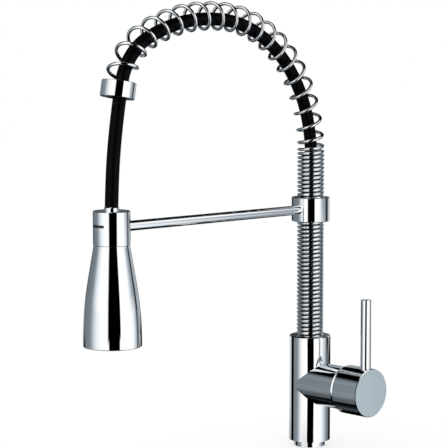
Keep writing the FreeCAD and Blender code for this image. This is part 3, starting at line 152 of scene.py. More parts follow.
# Studio air: an even white surround and one broad soft lamp above the camera's left shoulder.
# Together they light a dull surface at about the colour that it has.
LAMP_ACROSS = 1.2
LAMP_WATTS = 4.0
LAMP_AHEAD = 1.2
LAMP_ASIDE = 0.9
LAMP_LEVEL = 1.7
LAMP_AIM = Vector((0, -0.14, 0.22))
world = bpy.data.worlds.new("white_surround")
bpy.context.scene.world = world
world.use_nodes = True
tree = world.node_tree
tree.nodes.clear()
surround = add_node(tree, "ShaderNodeBackground", Color=linear("#FFFFFF"), Strength=1.0)
tree.links.new(surround.outputs[0], add_node(tree, "ShaderNodeOutputWorld").inputs["Surface"])
lamp_data = bpy.data.lights.new("soft_lamp", "AREA")
lamp_data.shape = "DISK"
lamp_data.size = LAMP_ACROSS
lamp_data.energy = LAMP_WATTS
soft_lamp = bpy.data.objects.new("soft_lamp", lamp_data)
soft_lamp.location = (towards_camera * LAMP_AHEAD - rightwards * LAMP_ASIDE
                      + Vector((0, 0, LAMP_LEVEL)))
aim = LAMP_AIM - soft_lamp.location
soft_lamp.rotation_euler = aim.to_track_quat("-Z", "Y").to_euler()
soft_lamp.visible_glossy = False
bpy.context.scene.collection.objects.link(soft_lamp)

# Studio tent: glowing walls on four sides of the table, with painted bright bands, dark gaps and dark
# bands between them. It is hidden from the camera, diffuse light and shadows, so only the metal mirrors
# it: the pale and dark stripes that polished chrome shows are painted reflections.
# A wall's line is a place along it in metres, and how bright it is there at the tent's eight heights.
FRONT, BACK, LEFT, RIGHT = 1.07, -1.2, -0.8, 0.38
FRONT_BANDS = [
    (-0.7, 0.0, 0.3, 1.0, 1.0, 1.0, 1.0, 1.0, 1.0),
    (-0.44, 0.0, 0.3, 1.0, 1.0, 1.0, 1.0, 1.0, 1.0),
    (-0.4, 0.0, 0.3, 1.0, 0.5, 0.5, 0.0, 0.0, 0.0),
    (-0.36, 0.0, 0.0, 1.0, 0.0, 0.0, 0.0, 0.0, 0.0),
    (-0.31, 0.0, 0.0, 0.0, 0.0, 0.0, 0.0, 0.0, 0.0),
    (0.34, 0.0, 0.0, 0.0, 0.0, 0.0, 0.0, 0.0, 0.0),
    (0.37, 0.0, 0.0, 1.0, 0.0, 0.0, 0.0, 0.0, 0.0),
    (0.42, 0.0, 0.0, 1.0, 0.0, 0.0, 0.0, 0.0, 0.0),
    (0.45, 0.0, 0.3, 1.0, 1.0, 1.0, 1.0, 0.0, 0.0),
]
RIGHT_BANDS = [
    (0.66, 0.0, 0.3, 1.0, 1.0, 1.0, 1.0, 0.0, 0.0),
    (0.3, 0.0, 0.3, 1.0, 1.0, 0.97, 1.0, 0.0, 0.0),
    (0.25, 0.0, 0.3, 0.97, 0.97, 0.79, 0.97, 0.0, 0.0),
    (0.19, 0.0, 0.3, 0.93, 0.93, 0.62, 0.95, 0.0, 0.0),
    (0.13, 0.0, 0.3, 0.8, 0.8, 0.45, 0.95, 0.0, 0.0),
    (0.07, 0.0, 0.2, 0.64, 0.64, 0.33, 1.0, 0.0, 0.0),
    (0.01, 0.0, 0.0, 0.48, 0.48, 0.33, 1.0, 0.0, 0.0),
    (-0.05, 0.0, 0.0, 0.33, 0.3, 0.2, 0.9, 0.0, 0.0),
    (-0.1, 0.0, 0.0, 0.22, 0.0, 0.0, 0.2, 0.0, 0.0),
    (-0.2, 0.0, 0.0, 0.17, 0.03, 0.03, 0.0, 0.0, 0.0),
    (-0.26, 0.0, 0.0, 0.12, 0.3, 0.3, 0.0, 0.0, 0.0),
    (-0.3, 0.0, 0.0, 0.0, 0.45, 0.45, 0.0, 0.0, 0.0),
    (-0.41, 0.0, 0.0, 0.0, 0.65, 0.65, 0.0, 0.0, 0.0),
    (-0.7, 0.0, 0.0, 0.0, 0.5, 0.5, 0.0, 0.0, 0.0),
    (-0.95, 0.0, 0.0, 0.0, 0.4, 0.4, 0.0, 0.0, 0.0),
]
BACK_BANDS = [
    (0.15, 0.0, 0.0, 0.0, 0.05, 0.45, 0.0, 0.0, 0.0),
    (0.08, 0.0, 0.0, 0.15, 0.05, 0.05, 0.4, 0.0, 0.0),
    (0.0, 0.0, 0.0, 0.3, 0.05, 0.05, 0.4, 0.0, 0.0),
    (-0.12, 0.0, 0.0, 0.7, 0.05, 0.05, 0.35, 0.0, 0.0),
    (-0.5, 0.0, 0.0, 0.7, 0.05, 0.05, 0.2, 0.0, 0.0),
]
LEFT_BANDS = [
    (-1.2, 0.06, 0.0, 0.7, 0.05, 0.05, 0.1, 0.0, 0.1),
    (-0.8, 0.05, 0.0, 0.6, 0.05, 0.05, 0.2, 0.0, 0.15),
    (-0.62, 0.04, 0.0, 0.2, 0.19, 0.19, 0.2, 0.0, 0.2),
    (-0.56, 0.02, 0.0, 0.0, 0.18, 0.18, 0.2, 0.0, 0.2),
    (-0.22, 0.0, 0.05, 0.0, 0.17, 0.17, 0.22, 0.0, 0.0),
    (-0.18, 0.0, 0.09, 0.2, 0.18, 0.18, 0.22, 0.0, 0.0),
    (-0.06, 0.0, 0.1, 0.21, 0.19, 0.19, 0.22, 0.0, 0.0),
    (0.1, 0.0, 0.12, 0.23, 0.21, 0.21, 0.25, 0.0, 0.0),
    (0.17, 0.0, 0.14, 0.26, 0.23, 0.25, 0.3, 0.0, 0.0),
    (0.23, 0.0, 0.2, 0.3, 0.3, 0.33, 0.4, 0.0, 0.0),
    (0.34, 0.0, 0.3, 0.48, 0.48, 0.6, 0.6, 1.0, 1.0),
    (0.46, 0.0, 0.3, 0.71, 0.71, 0.82, 0.8, 1.0, 1.0),
    (0.59, 0.0, 0.3, 0.85, 0.85, 0.94, 0.9, 1.0, 1.0),
    (0.74, 0.0, 0.3, 0.93, 0.93, 1.0, 0.95, 1.0, 1.0),
    (0.9, 0.0, 0.3, 1.0, 1.0, 1.0, 1.0, 1.0, 1.0),
]
# Heights of the hem, below the table, at the table, at bench height, above that, at middle height, in
# the band over that and under the ceiling: where each of the eight begins and ends
TENT_ROWS = [
    (-1.7, 0), (-0.71, 0), (-0.62, 1), (-0.42, 1), (-0.22, 2), (0.0, 2), (0.04, 3), (0.16, 3), (0.22, 4),
    (0.36, 4), (0.46, 5), (0.64, 5), (0.88, 6), (1.38, 6), (1.46, 7), (1.8, 7),
]
TENT_GLOW = 1.12
TENT_TINT = (-0.16, 0.0, 0.13)
HEM_MIDDLE = 0.03
CEILING_MIDDLE = 0.05
tent_plan = [(across, FRONT, reflected_bands) for across, *reflected_bands in FRONT_BANDS]
tent_plan += [(RIGHT, ahead, reflected_bands) for ahead, *reflected_bands in RIGHT_BANDS]
tent_plan += [(across, BACK, reflected_bands) for across, *reflected_bands in BACK_BANDS]
tent_plan += [(LEFT, ahead, reflected_bands) for ahead, *reflected_bands in LEFT_BANDS]
points, shades, faces = [], [], []
for height, level in TENT_ROWS:
    for across, ahead, reflected_bands in tent_plan:
        points.append(rightwards * across + towards_camera * ahead + Vector((0, 0, height)))
        shades.append(reflected_bands[level])
around = len(tent_plan)
last_row = len(TENT_ROWS) - 1
for row in range(last_row):
    for at in range(around):
        after = (at + 1) % around
        faces.append((row * around + at, row * around + after,
                      (row + 1) * around + after, (row + 1) * around + at))
for row, shade in ((0, HEM_MIDDLE), (last_row, CEILING_MIDDLE)):
    faces += [(row * around + at, row * around + (at + 1) % around, len(points)) for at in range(around)]
    points.append(Vector((0, 0, TENT_ROWS[row][0])))
    shades.append(shade)
reflection_bands_material, tree, output = blank_material("painted_reflection_bands")
tone = add_node(tree, "ShaderNodeAttribute", {"attribute_name": "shade"})
reflected_bands = add_node(tree, "ShaderNodeEmission", Color=tone.outputs["Color"], Strength=TENT_GLOW)
tree.links.new(reflected_bands.outputs[0], output.inputs["Surface"])
tent_mesh = bpy.data.meshes.new("studio_tent")
tent_mesh.from_pydata(points, [], faces)
# The painted reflection bands get a faint cool tint in their mid greys.
colours = []
for shade in shades:
    colours += [shade + tint * shade * (1 - shade) for tint in TENT_TINT] + [1.0]
tent_mesh.attributes.new("shade", "FLOAT_COLOR", "POINT").data.foreach_set("color", colours)
studio_tent = put_in_scene("studio_tent", tent_mesh, reflection_bands_material)
for ray in ("camera", "diffuse", "transmission", "shadow", "volume_scatter"):
    setattr(studio_tent, f"visible_{ray}", False)

# Deck gasket: flat rubber ring in a groove under the body, which seals against the worktop.
# Compression moulded in black nitrile, so it is dull, with a fine dusty grain from the mould.
MOULD_GRAIN = 0.0008


def dress(material, *names):
    """Gives CAD nodes a material in place of their plain one."""
    for name in names:
        node[name].data.materials.clear()
        node[name].data.materials.append(material)


seal_rubber, tree, output = blank_material("moulded_black_rubber")
place = add_node(tree, "ShaderNodeTexCoord")
# The real grain is about a tenth of a millimetre, and is drawn coarser so that it shows
grain = add_node(tree, "ShaderNodeTexNoise", Vector=place.outputs["Object"], Scale=1 / MOULD_GRAIN,
                 Detail=3.0)
dust = add_node(tree, "ShaderNodeMapRange", Value=grain.outputs["Fac"], From_Min=0.3, From_Max=0.7,
                To_Min=0.55, To_Max=0.72)
pores = add_node(tree, "ShaderNodeBump", Height=grain.outputs["Fac"], Strength=0.2, Distance=0.0001)
skin = add_node(tree, "ShaderNodeBsdfPrincipled", Base_Color=linear("#131315"), Roughness=dust.outputs[0],
                Normal=pores.outputs[0], IOR=1.52)
tree.links.new(skin.outputs[0], output.inputs["Surface"])
dress(seal_rubber, "deck_gasket")

# Base ring: turned brass plug under the body, which centres the tap in its hole and takes the hose
# tails. Polished and chrome plated with the body: a cold bright mirror, with the faint cloudiness that
# a buffing wheel and wiping leave.
WIPE_WIDTH = 0.009
chrome, tree, output = blank_material("buffed_chrome_plate")
place = add_node(tree, "ShaderNodeTexCoord")
cloud = add_node(tree, "ShaderNodeTexNoise", Vector=place.outputs["Object"], Scale=1 / WIPE_WIDTH,
                 Detail=4.0, Roughness=0.6)
polish = add_node(tree, "ShaderNodeMapRange", Value=cloud.outputs["Fac"], From_Min=0.35, From_Max=0.7,
                  To_Min=0.02, To_Max=0.06)
plate = add_node(tree, "ShaderNodeBsdfPrincipled", Base_Color=linear("#F3F5F7"), Metallic=1.0,
                 Roughness=polish.outputs[0])
tree.links.new(plate.outputs[0], output.inputs["Surface"])
dress(chrome, "base_ring")

# Mixer body: upright barrel and level branch in one brass casting, bored for the swivel and the
# cartridge. Ground, polished and chrome plated all over, with a crisp edge where the two meet.
dress(chrome, "mixer_body")

# Mixing cartridge: moulded housing in the branch, with a rotor that the stem turns and tilts.
# Acetal plastic from a polished mould: milky white with a soft, slightly wavy sheen.
FLOW_WAVE = 0.006
white_plastic, tree, output = blank_material("moulded_white_acetal")
place = add_node(tree, "ShaderNodeTexCoord")
wave = add_node(tree, "ShaderNodeTexNoise", Vector=place.outputs["Object"], Scale=1 / FLOW_WAVE,
                Detail=2.0)
sheen = add_node(tree, "ShaderNodeMapRange", Value=wave.outputs["Fac"], From_Min=0.3, From_Max=0.7,
                 To_Min=0.32, To_Max=0.45)
ripple = add_node(tree, "ShaderNodeBump", Height=wave.outputs["Fac"], Strength=0.1, Distance=0.0002)
milk = add_node(tree, "ShaderNodeMix", {"data_type": "RGBA"}, Factor=wave.outputs["Fac"],
                i6=linear("#E6E5DF"), i7=linear("#F0EFEA"))
skin = add_node(tree, "ShaderNodeBsdfPrincipled", Base_Color=milk.outputs[2], Roughness=sheen.outputs[0],
                Normal=ripple.outputs[0], IOR=1.48)
tree.links.new(skin.outputs[0], output.inputs["Surface"])
dress(white_plastic, "cartridge_housing", "cartridge_rotor")
dress(seal_rubber, "cartridge_seals")

# Ceramic discs: two alumina discs with ports, lapped flat so that they seal on each other.
# Fired white, with a glassy, even sheen and hardly visible lapping scratches.
LAP_SCRATCH = 0.0005
ceramic, tree, output = blank_material("lapped_alumina")
place = add_node(tree, "ShaderNodeTexCoord")
# Real scratches are a few thousandths of a millimetre wide, and are drawn coarser so that they show
lap = add_node(tree, "ShaderNodeTexNoise", Vector=place.outputs["Object"], Scale=1 / LAP_SCRATCH,
               Detail=2.0, Distortion=1.5)
gloss = add_node(tree, "ShaderNodeMapRange", Value=lap.outputs["Fac"], From_Min=0.3, From_Max=0.7,
                 To_Min=0.1, To_Max=0.2)
skin = add_node(tree, "ShaderNodeBsdfPrincipled", Base_Color=linear("#F2F0E9"),
                Roughness=gloss.outputs[0], IOR=1.76)
tree.links.new(skin.outputs[0], output.inputs["Surface"])
dress(ceramic, "fixed_ceramic_disc", "moving_ceramic_disc")

# Cartridge nut: threaded ring with two key slots, which clamps the cartridge in the branch.
# Brass turned from bar: warm yellow with fine rings left by the tool.
TOOL_FEED = 0.0005
RING_SPREAD = 0.03


def turned_metal(name, colour, finest, coarsest):
    """A bare metal from the lathe, with roughness between the two along its tool rings."""
    material, tree, output = blank_material(name)
    place = add_node(tree, "ShaderNodeTexCoord")
    # The real feed is about a tenth of a millimetre, and is drawn coarser so that it shows
    rings = add_node(tree, "ShaderNodeMapping", Vector=place.outputs["Object"],
                     Scale=(1 / RING_SPREAD, 1 / RING_SPREAD, 1 / TOOL_FEED))
    feed = add_node(tree, "ShaderNodeTexNoise", Vector=rings.outputs[0], Scale=1.0, Detail=2.0)
    shine = add_node(tree, "ShaderNodeMapRange", Value=feed.outputs["Fac"], From_Min=0.3, From_Max=0.7,
                     To_Min=finest, To_Max=coarsest)
    groove = add_node(tree, "ShaderNodeBump", Height=feed.outputs["Fac"], Strength=0.15, Distance=0.0001)
    metal = add_node(tree, "ShaderNodeBsdfPrincipled", Base_Color=linear(colour), Metallic=1.0,
                     Roughness=shine.outputs[0], Normal=groove.outputs[0])
    tree.links.new(metal.outputs[0], output.inputs["Surface"])
    return material


brass = turned_metal("turned_brass", "#D8B568", 0.2, 0.34)
dress(brass, "cartridge_nut")

# Cartridge stem and its pivot pin: square bar that carries the handle, on a pin through the rotor.
# Stainless steel, turned and milled: grey with the same fine tool rings.
steel = turned_metal("turned_stainless_steel", "#C4C6C8", 0.22, 0.38)
dress(steel, "cartridge_stem", "stem_pivot_pin")

# Cover dome: thin pressed and plated shell over the cartridge, screwed on the end of the branch.
# The hub slides over it as the lever tilts.
dress(chrome, "cover_dome")

# Handle hub: drum turned from brass and plated, hollow at the back, with a flat face.
# The face is brushed on the lathe after plating: pale and soft, with fine rings round its middle.
BRUSH_RING = 0.0003
HUB_AXIS_LEVEL = 0.0615
HUB_FACE = 0.086
FACE_MARGIN = 0.0001
FACE_FLATNESS = 0.99
brushed, tree, output = blank_material("spin_brushed_chrome")
place = add_node(tree, "ShaderNodeTexCoord")
centred = add_node(tree, "ShaderNodeMapping", Vector=place.outputs["Object"],
                   Location=(0, 0, -HUB_AXIS_LEVEL), Scale=(0, 1, 1))
reach = add_node(tree, "ShaderNodeVectorMath", {"operation": "LENGTH"}, i0=centred.outputs[0])
# The real rings are a few hundredths of a millimetre apart, and are drawn coarser so that they show
stroke = add_node(tree, "ShaderNodeTexNoise", {"noise_dimensions": "1D"}, W=reach.outputs["Value"],
                  Scale=1 / BRUSH_RING, Detail=3.0)
satin = add_node(tree, "ShaderNodeMapRange", Value=stroke.outputs["Fac"], From_Min=0.3, From_Max=0.7,
                 To_Min=0.44, To_Max=0.56)
scratch = add_node(tree, "ShaderNodeBump", Height=stroke.outputs["Fac"], Strength=0.08, Distance=0.00005)
metal = add_node(tree, "ShaderNodeBsdfPrincipled", Base_Color=linear("#DAE6EB"), Metallic=1.0,
                 Roughness=satin.outputs[0], Normal=scratch.outputs[0])
tree.links.new(metal.outputs[0], output.inputs["Surface"])
dress(chrome, "handle_hub")
hub_mesh = node["handle_hub"].data
hub_mesh.materials.append(brushed)
for face in hub_mesh.polygons:
    if face.center.x > HUB_FACE - FACE_MARGIN and face.normal.x > FACE_FLATNESS:
        face.material_index = 1

# Lever: straight round brass rod, polished and chrome plated like the hub.
# Its foot is pressed into a bore in the top of the hub, so that the two move as one.
dress(chrome, "lever_rod")

# Hub grub screw and its plug: the screw holds the hub on the stem, and the plug hides it from below.
# The plug is ABS from a finely eroded mould: deep black with an even, slightly grainy sheen.
EROSION_GRAIN = 0.0006
black_plastic, tree, output = blank_material("moulded_black_abs")
place = add_node(tree, "ShaderNodeTexCoord")
# The real grain is near a twentieth of a millimetre, and is drawn coarser so that it shows
grain = add_node(tree, "ShaderNodeTexNoise", Vector=place.outputs["Object"], Scale=1 / EROSION_GRAIN,
                 Detail=2.0)
sheen = add_node(tree, "ShaderNodeMapRange", Value=grain.outputs["Fac"], From_Min=0.3, From_Max=0.7,
                 To_Min=0.34, To_Max=0.48)
pits = add_node(tree, "ShaderNodeBump", Height=grain.outputs["Fac"], Strength=0.12, Distance=0.00008)
skin = add_node(tree, "ShaderNodeBsdfPrincipled", Base_Color=linear("#0A0A0C"),
                Roughness=sheen.outputs[0], Normal=pits.outputs[0], IOR=1.53)
tree.links.new(skin.outputs[0], output.inputs["Surface"])
dress(black_plastic, "hub_screw_plug")
dress(steel, "hub_grub_screw")

# Swivel: brass spigot of the spout in the barrel's bore, on two rubber rings and a plastic bush.
# The spout turns on it without limit.
dress(brass, "swivel_spigot")
dress(seal_rubber, "swivel_o_rings")
dress(black_plastic, "swivel_bush")

# Swivel screw: dog-point screw at the back of the barrel, whose tip runs in the spigot's groove.
# Stainless steel, driven with a hexagon key: its outer end has a chamfered rim and a six-sided socket.
RIM_STEPS = 24
RIM_ANGLE = math.radians(20)
SCREW_CHAMFER = 0.0003
SCREW_KEY = 0.0025
SOCKET_DEPTH = SCREW_KEY * 0.6


def socket_screw(name, radius, start, end, tip_radius=None, tip_start=None):
    """Mesh of a screw along +Y, with a hexagon socket in its outer end, and a thinner tip if given."""
    angles = [math.tau * step / RIM_STEPS for step in range(RIM_STEPS)]

    def circle(reach, at):
        return [(reach * math.cos(angle), at, reach * math.sin(angle)) for angle in angles]

    def hexagon(at):
        ring = []
        for angle in angles:
            past = (angle + math.pi / 6) % (math.pi / 3) - math.pi / 6
            reach = SCREW_KEY / 2 / math.cos(past)
            ring.append((reach * math.cos(angle), at, reach * math.sin(angle)))
        return ring

    rings = [circle(tip_radius, tip_start), circle(tip_radius, start)] if tip_radius else []
    rings += [circle(radius, start), circle(radius, end - SCREW_CHAMFER)]
    rings += [circle(radius - SCREW_CHAMFER, end), hexagon(end), hexagon(end - SOCKET_DEPTH)]
    made = bmesh.new()
    rows = [[made.verts.new(point) for point in ring] for ring in rings]
    for below, above in zip(rows, rows[1:]):
        for step in range(RIM_STEPS):
            after = (step + 1) % RIM_STEPS
            made.faces.new((below[step], above[step], above[after], below[after]))
    made.faces.new(rows[0])
    made.faces.new(rows[-1][::-1])
    bmesh.ops.recalc_face_normals(made, faces=made.faces)
    mesh = bpy.data.meshes.new(name)
    made.to_mesh(mesh)
    made.free()
    mesh.polygons.foreach_set("use_smooth", [True] * len(mesh.polygons))
    mesh.set_sharp_from_angle(angle=RIM_ANGLE)
    return mesh


def set_level(mesh, level):
    """Lifts a mesh made round the axis to its height."""
    mesh.transform(Matrix.Translation((0, 0, level)))
    return mesh


SWIVEL_TIP = 0.0019
SWIVEL_TIP_LENGTH = 0.0017
low, high = [Vector(corner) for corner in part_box("swivel_screw")]
swivel_key_screw = put_in_scene("swivel_key_screw", set_level(socket_screw(
    "swivel_key_screw", (high.x - low.x) / 2, low.y + SWIVEL_TIP_LENGTH, high.y, SWIVEL_TIP, low.y),
    (low.z + high.z) / 2), steel)
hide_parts("swivel_screw")
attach(swivel_key_screw, "base")

# Riser: seamless steel tube up the middle of the spring, with a plastic guide for the hose in its top.
# It is painted near black as painted shade, so the gaps between the spring's turns look dark as if
# shadowed.
# The nipple and the sleeve clamp the hose's foot inside it.
DARK_PATCH = 0.009
gap_shade_steel, tree, output = blank_material("painted_shade_steel_tube")
place = add_node(tree, "ShaderNodeTexCoord")
patch = add_node(tree, "ShaderNodeTexNoise", Vector=place.outputs["Object"], Scale=1 / DARK_PATCH,
                 Detail=4.0)
depth = add_node(tree, "ShaderNodeMapRange", Value=patch.outputs["Fac"], From_Min=0.3, From_Max=0.7,
                 To_Min=0.4, To_Max=0.55)
# Painted shade: a near-black tone with faint random patches, so the spring's gaps look shadowed.
tone = add_node(tree, "ShaderNodeMix", {"data_type": "RGBA"}, Factor=patch.outputs["Fac"],
                i6=linear("#0E0F11"), i7=linear("#17181B"))
metal = add_node(tree, "ShaderNodeBsdfPrincipled", Base_Color=tone.outputs[2], Metallic=1.0,
                 Roughness=depth.outputs[0])
tree.links.new(metal.outputs[0], output.inputs["Surface"])
dress(gap_shade_steel, "riser_tube")
dress(black_plastic, "riser_top_guide")
dress(brass, "hose_nipple")
dress(steel, "hose_crimp_sleeve")

# Hose: black rubber over a textile braid, clamped on the nipple and led up the riser and through the
# spring. Its cover is extruded: near black with a cold, faint sheen, and fine drag lines along it.
HOSE_RADIUS = 0.0065
HOSE_FOOT = 0.10412
HOSE_BEND = 0.3045
HOSE_ARCH = [(0.142, 90.0), (None, 0.008), (0.187, 26.6), (0.062, 53.4), (None, 0.012)]
HOSE_STEP = 0.0025
HOSE_SIDES = 40
DRAG_LINE = 0.0006
DRAG_LENGTH = 0.02


def after_run(radius, run, out, up, heading):
    """Where a straight run or an arc leads: outwards, up, heading."""
    if radius is None:
        return out + run * math.cos(heading), up + run * math.sin(heading), heading
    last = heading - run / radius
    return (out + radius * (math.sin(heading) - math.sin(last)),
            up + radius * (math.cos(last) - math.cos(heading)), last)


def arch_line(start_up, pieces):
    """The length of a line of runs and arcs that starts upright, and a function for its points."""
    parts = []
    length, out, up, heading = 0.0, 0.0, start_up, math.radians(90)
    for radius, amount in pieces:
        run = amount if radius is None else radius * math.radians(amount)
        parts.append((length, radius, out, up, heading))
        out, up, heading = after_run(radius, run, out, up, heading)
        length += run

    def at(way):
        begin, radius, out, up, heading = [part for part in parts if part[0] <= max(way, 0.0)][-1]
        return after_run(radius, way - begin, out, up, heading)

    return length, at


def round_bar(name, line, radius, sides):
    """Mesh of a closed round bar along a line of points, with a map of its length and girth in metres."""
    count = len(line)
    ways = [(line[min(at + 1, count - 1)] - line[max(at - 1, 0)]).normalized() for at in range(count)]
    across = ways[0].orthogonal().normalized()
    points, normals, travelled = [], [], [0.0]
    for at, (centre, way) in enumerate(zip(line, ways)):
        if at:
            across = (across - way * across.dot(way)).normalized()
            travelled.append(travelled[-1] + (centre - line[at - 1]).length)
        beside = way.cross(across)
        for side in range(sides):
            angle = math.tau * side / sides
            out = across * math.cos(angle) + beside * math.sin(angle)
            points.append(centre + out * radius)
            normals.append(out)
    faces, spots = [], []
    for at in range(count - 1):
        for side in range(sides):
            after = (side + 1) % sides
            faces.append((at * sides + side, at * sides + after,
                          (at + 1) * sides + after, (at + 1) * sides + side))
            for ring, step in ((at, side), (at, side + 1), (at + 1, side + 1), (at + 1, side)):
                spots += [travelled[ring], math.tau * radius * step / sides]
    for ring, way, turn in ((0, -ways[0], -1), (count - 1, ways[-1], 1)):
        first = len(points)
        points.append(line[ring])
        normals.append(way)
        points += points[ring * sides:(ring + 1) * sides]
        normals += [way] * sides
        for side in range(sides):
            rim = [first + 1 + side, first + 1 + (side + 1) % sides][::turn]
            faces.append((first, *rim))
            spots += [travelled[ring], 0.0] * 3
    mesh = bpy.data.meshes.new(name)
    mesh.from_pydata(points, [], faces)
    mesh.uv_layers.new(name="length_and_girth").data.foreach_set("uv", spots)
    mesh.polygons.foreach_set("use_smooth", [True] * len(faces))
    mesh.normals_split_custom_set_from_vertices(normals)
    return mesh


hose_rubber, tree, output = blank_material("extruded_black_rubber")
place = add_node(tree, "ShaderNodeUVMap", {"uv_map": "length_and_girth"})
# The real lines are about a tenth of a millimetre wide, and are drawn coarser so that they show
stretch = add_node(tree, "ShaderNodeMapping", Vector=place.outputs[0],
                   Scale=(1 / DRAG_LENGTH, 1 / DRAG_LINE, 1.0))
drag = add_node(tree, "ShaderNodeTexNoise", Vector=stretch.outputs[0], Scale=1.0, Detail=3.0)
sheen = add_node(tree, "ShaderNodeMapRange", Value=drag.outputs["Fac"], From_Min=0.3, From_Max=0.7,
                 To_Min=0.3, To_Max=0.42)
lines = add_node(tree, "ShaderNodeBump", Height=drag.outputs["Fac"], Strength=0.2, Distance=0.0001)
skin = add_node(tree, "ShaderNodeBsdfPrincipled", Base_Color=linear("#030306"),
                Roughness=sheen.outputs[0], Normal=lines.outputs[0], IOR=1.5, Specular_IOR_Level=0.06)
tree.links.new(skin.outputs[0], output.inputs["Surface"])
hose_length, hose_at = arch_line(HOSE_FOOT, [(None, HOSE_BEND - HOSE_FOOT)] + HOSE_ARCH)
hose_steps = round(hose_length / HOSE_STEP)
hose_line = []
for step in range(hose_steps + 1):
    out, up, heading = hose_at(hose_length * step / hose_steps)
    hose_line.append(Vector((0, -out, up)))
hose_in_spring = put_in_scene(
    "hose_in_spring", round_bar("hose_in_spring", hose_line, HOSE_RADIUS, HOSE_SIDES), hose_rubber)
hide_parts("hose")
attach(hose_in_spring, "spout")

# Spring: one hard-drawn steel wire, wound close round the riser and open over the arch, then plated.
# Its lowest turn stands on the swivel flange, and its last turn stands in the ferrule.
# The die leaves long faint lines in the wire, which the plating smooths but doesn't hide.
WIRE_RADIUS = 0.0017
SPRING_FOOT = 0.110066
ARCH_BASE = 0.3095
SPRING_ARCH = [(0.140, 90.0), (None, 0.010), (0.190, 26.6), (0.065, 53.4), (None, 0.012)]
CLOSE_PITCH = 0.00436
OPEN_PITCH = 0.01927
RAMP_TURNS = 3.2
SPRING_SEAT = 0.007646
COIL_ACROSS = 0.0288
COIL_END_ACROSS = 0.0296
SPRING_END_ANGLE = math.radians(272.7)
SPRING_TAIL = WIRE_RADIUS * 2
STEPS_A_TURN = 64
DRAWN_STEP = 2
WIRE_SIDES = 16
DIE_LINE = 0.0004
DIE_LENGTH = 0.015
spring_length, spring_at = arch_line(SPRING_FOOT, [(None, ARCH_BASE - SPRING_FOOT)] + SPRING_ARCH)
column_length = ARCH_BASE - SPRING_FOOT
# How far along its line the wire is at each step: the pitch grows smoothly once the arch begins
ways, ramp_start = [0.0], None
while ways[-1] < spring_length - SPRING_SEAT:
    turn = (len(ways) - 1) / STEPS_A_TURN
    if ramp_start is None and ways[-1] >= column_length:
        ramp_start = turn
    opened = 0.0 if ramp_start is None else min((turn - ramp_start) / RAMP_TURNS, 1.0)
    opened *= opened * (3 - 2 * opened)
    ways.append(ways[-1] + (CLOSE_PITCH + (OPEN_PITCH - CLOSE_PITCH) * opened) / STEPS_A_TURN)
ways.pop()
wire_line = []
for step, way in enumerate(ways):
    out, up, heading = spring_at(way)
    over_arch = max(0.0, (way - column_length) / (spring_length - column_length))
    radius = (COIL_ACROSS + (COIL_END_ACROSS - COIL_ACROSS) * over_arch) / 2 - WIRE_RADIUS
    angle = SPRING_END_ANGLE + math.tau * (len(ways) - 1 - step) / STEPS_A_TURN
    side = radius * math.sin(angle)
    wire_line.append(Vector((radius * math.cos(angle), -out - side * math.sin(heading),
                             up - side * math.cos(heading))))
foot_end = wire_line[0] + (wire_line[0] - wire_line[1]).normalized() * SPRING_TAIL
far_end = wire_line[-1] + (wire_line[-1] - wire_line[-2]).normalized() * SPRING_TAIL
wire_line = [foot_end] + wire_line[::DRAWN_STEP] + [far_end]
drawn_wire, tree, output = blank_material("chromed_drawn_wire")
place = add_node(tree, "ShaderNodeUVMap", {"uv_map": "length_and_girth"})
# The real lines are a few hundredths of a millimetre wide, and are drawn coarser so that they show
stretch = add_node(tree, "ShaderNodeMapping", Vector=place.outputs[0],
                   Scale=(1 / DIE_LENGTH, 1 / DIE_LINE, 1.0))
lines = add_node(tree, "ShaderNodeTexNoise", Vector=stretch.outputs[0], Scale=1.0, Detail=2.0)
polish = add_node(tree, "ShaderNodeMapRange", Value=lines.outputs["Fac"], From_Min=0.3, From_Max=0.7,
                  To_Min=0.03, To_Max=0.1)
metal = add_node(tree, "ShaderNodeBsdfPrincipled", Base_Color=linear("#F0F2F4"), Metallic=1.0,
                 Roughness=polish.outputs[0])
tree.links.new(metal.outputs[0], output.inputs["Surface"])
spring_coil = put_in_scene(
    "spring_coil", round_bar("spring_coil", wire_line, WIRE_RADIUS, WIRE_SIDES), drawn_wire)
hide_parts("spring")
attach(spring_coil, "spout")

# Ferrule: short brass sleeve over the spring's last turn, turned and chrome plated, with a plastic
# liner in its floor. The spring stands on the liner, and the hose slides through it.
dress(chrome, "spring_end_ferrule")
dress(black_plastic, "ferrule_liner")

# Hose drop: the same hose's free stretch, which hangs from the ferrule into the spray head.
# It leaves along the ferrule's lean and straightens into the head's fitting.
DROP_ROUTE = [(0.26912, 0.37019), (0.27345, 0.3456), (0.27682, 0.31949), (0.2790, 0.2938),
              (0.2800, 0.2683)]
DROP_STEPS = 24
drop_curve = bpy.data.curves.new("hose_drop_route", "CURVE")
drop_curve.dimensions = "3D"
drop_curve.resolution_u = DROP_STEPS
spline = drop_curve.splines.new("NURBS")
spline.points.add(len(DROP_ROUTE) - 1)
for point, (out, up) in zip(spline.points, DROP_ROUTE):
    point.co = (0, -out, up, 1)
spline.order_u = 3
spline.use_endpoint_u = True
drop_route = bpy.data.objects.new("hose_drop_route", drop_curve)
bpy.context.scene.collection.objects.link(drop_route)
bpy.context.view_layer.update()
drop_path = bpy.data.meshes.new_from_object(drop_route)
drop_line = [vertex.co.copy() for vertex in drop_path.vertices]
bpy.data.objects.remove(drop_route)
bpy.data.meshes.remove(drop_path)
hanging_hose = put_in_scene(
    "hanging_hose", round_bar("hanging_hose", drop_line, HOSE_RADIUS, HOSE_SIDES), hose_rubber)
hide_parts("hose_drop")
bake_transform(hanging_hose)

# Arm collar and support arm: plated brass ring round the column, and a plated rod from it to the head.
# The arm is pressed into the collar, and a plastic peg in its tip carries the spray head.
dress(chrome, "arm_collar", "support_arm")
dress(black_plastic, "dock_peg")

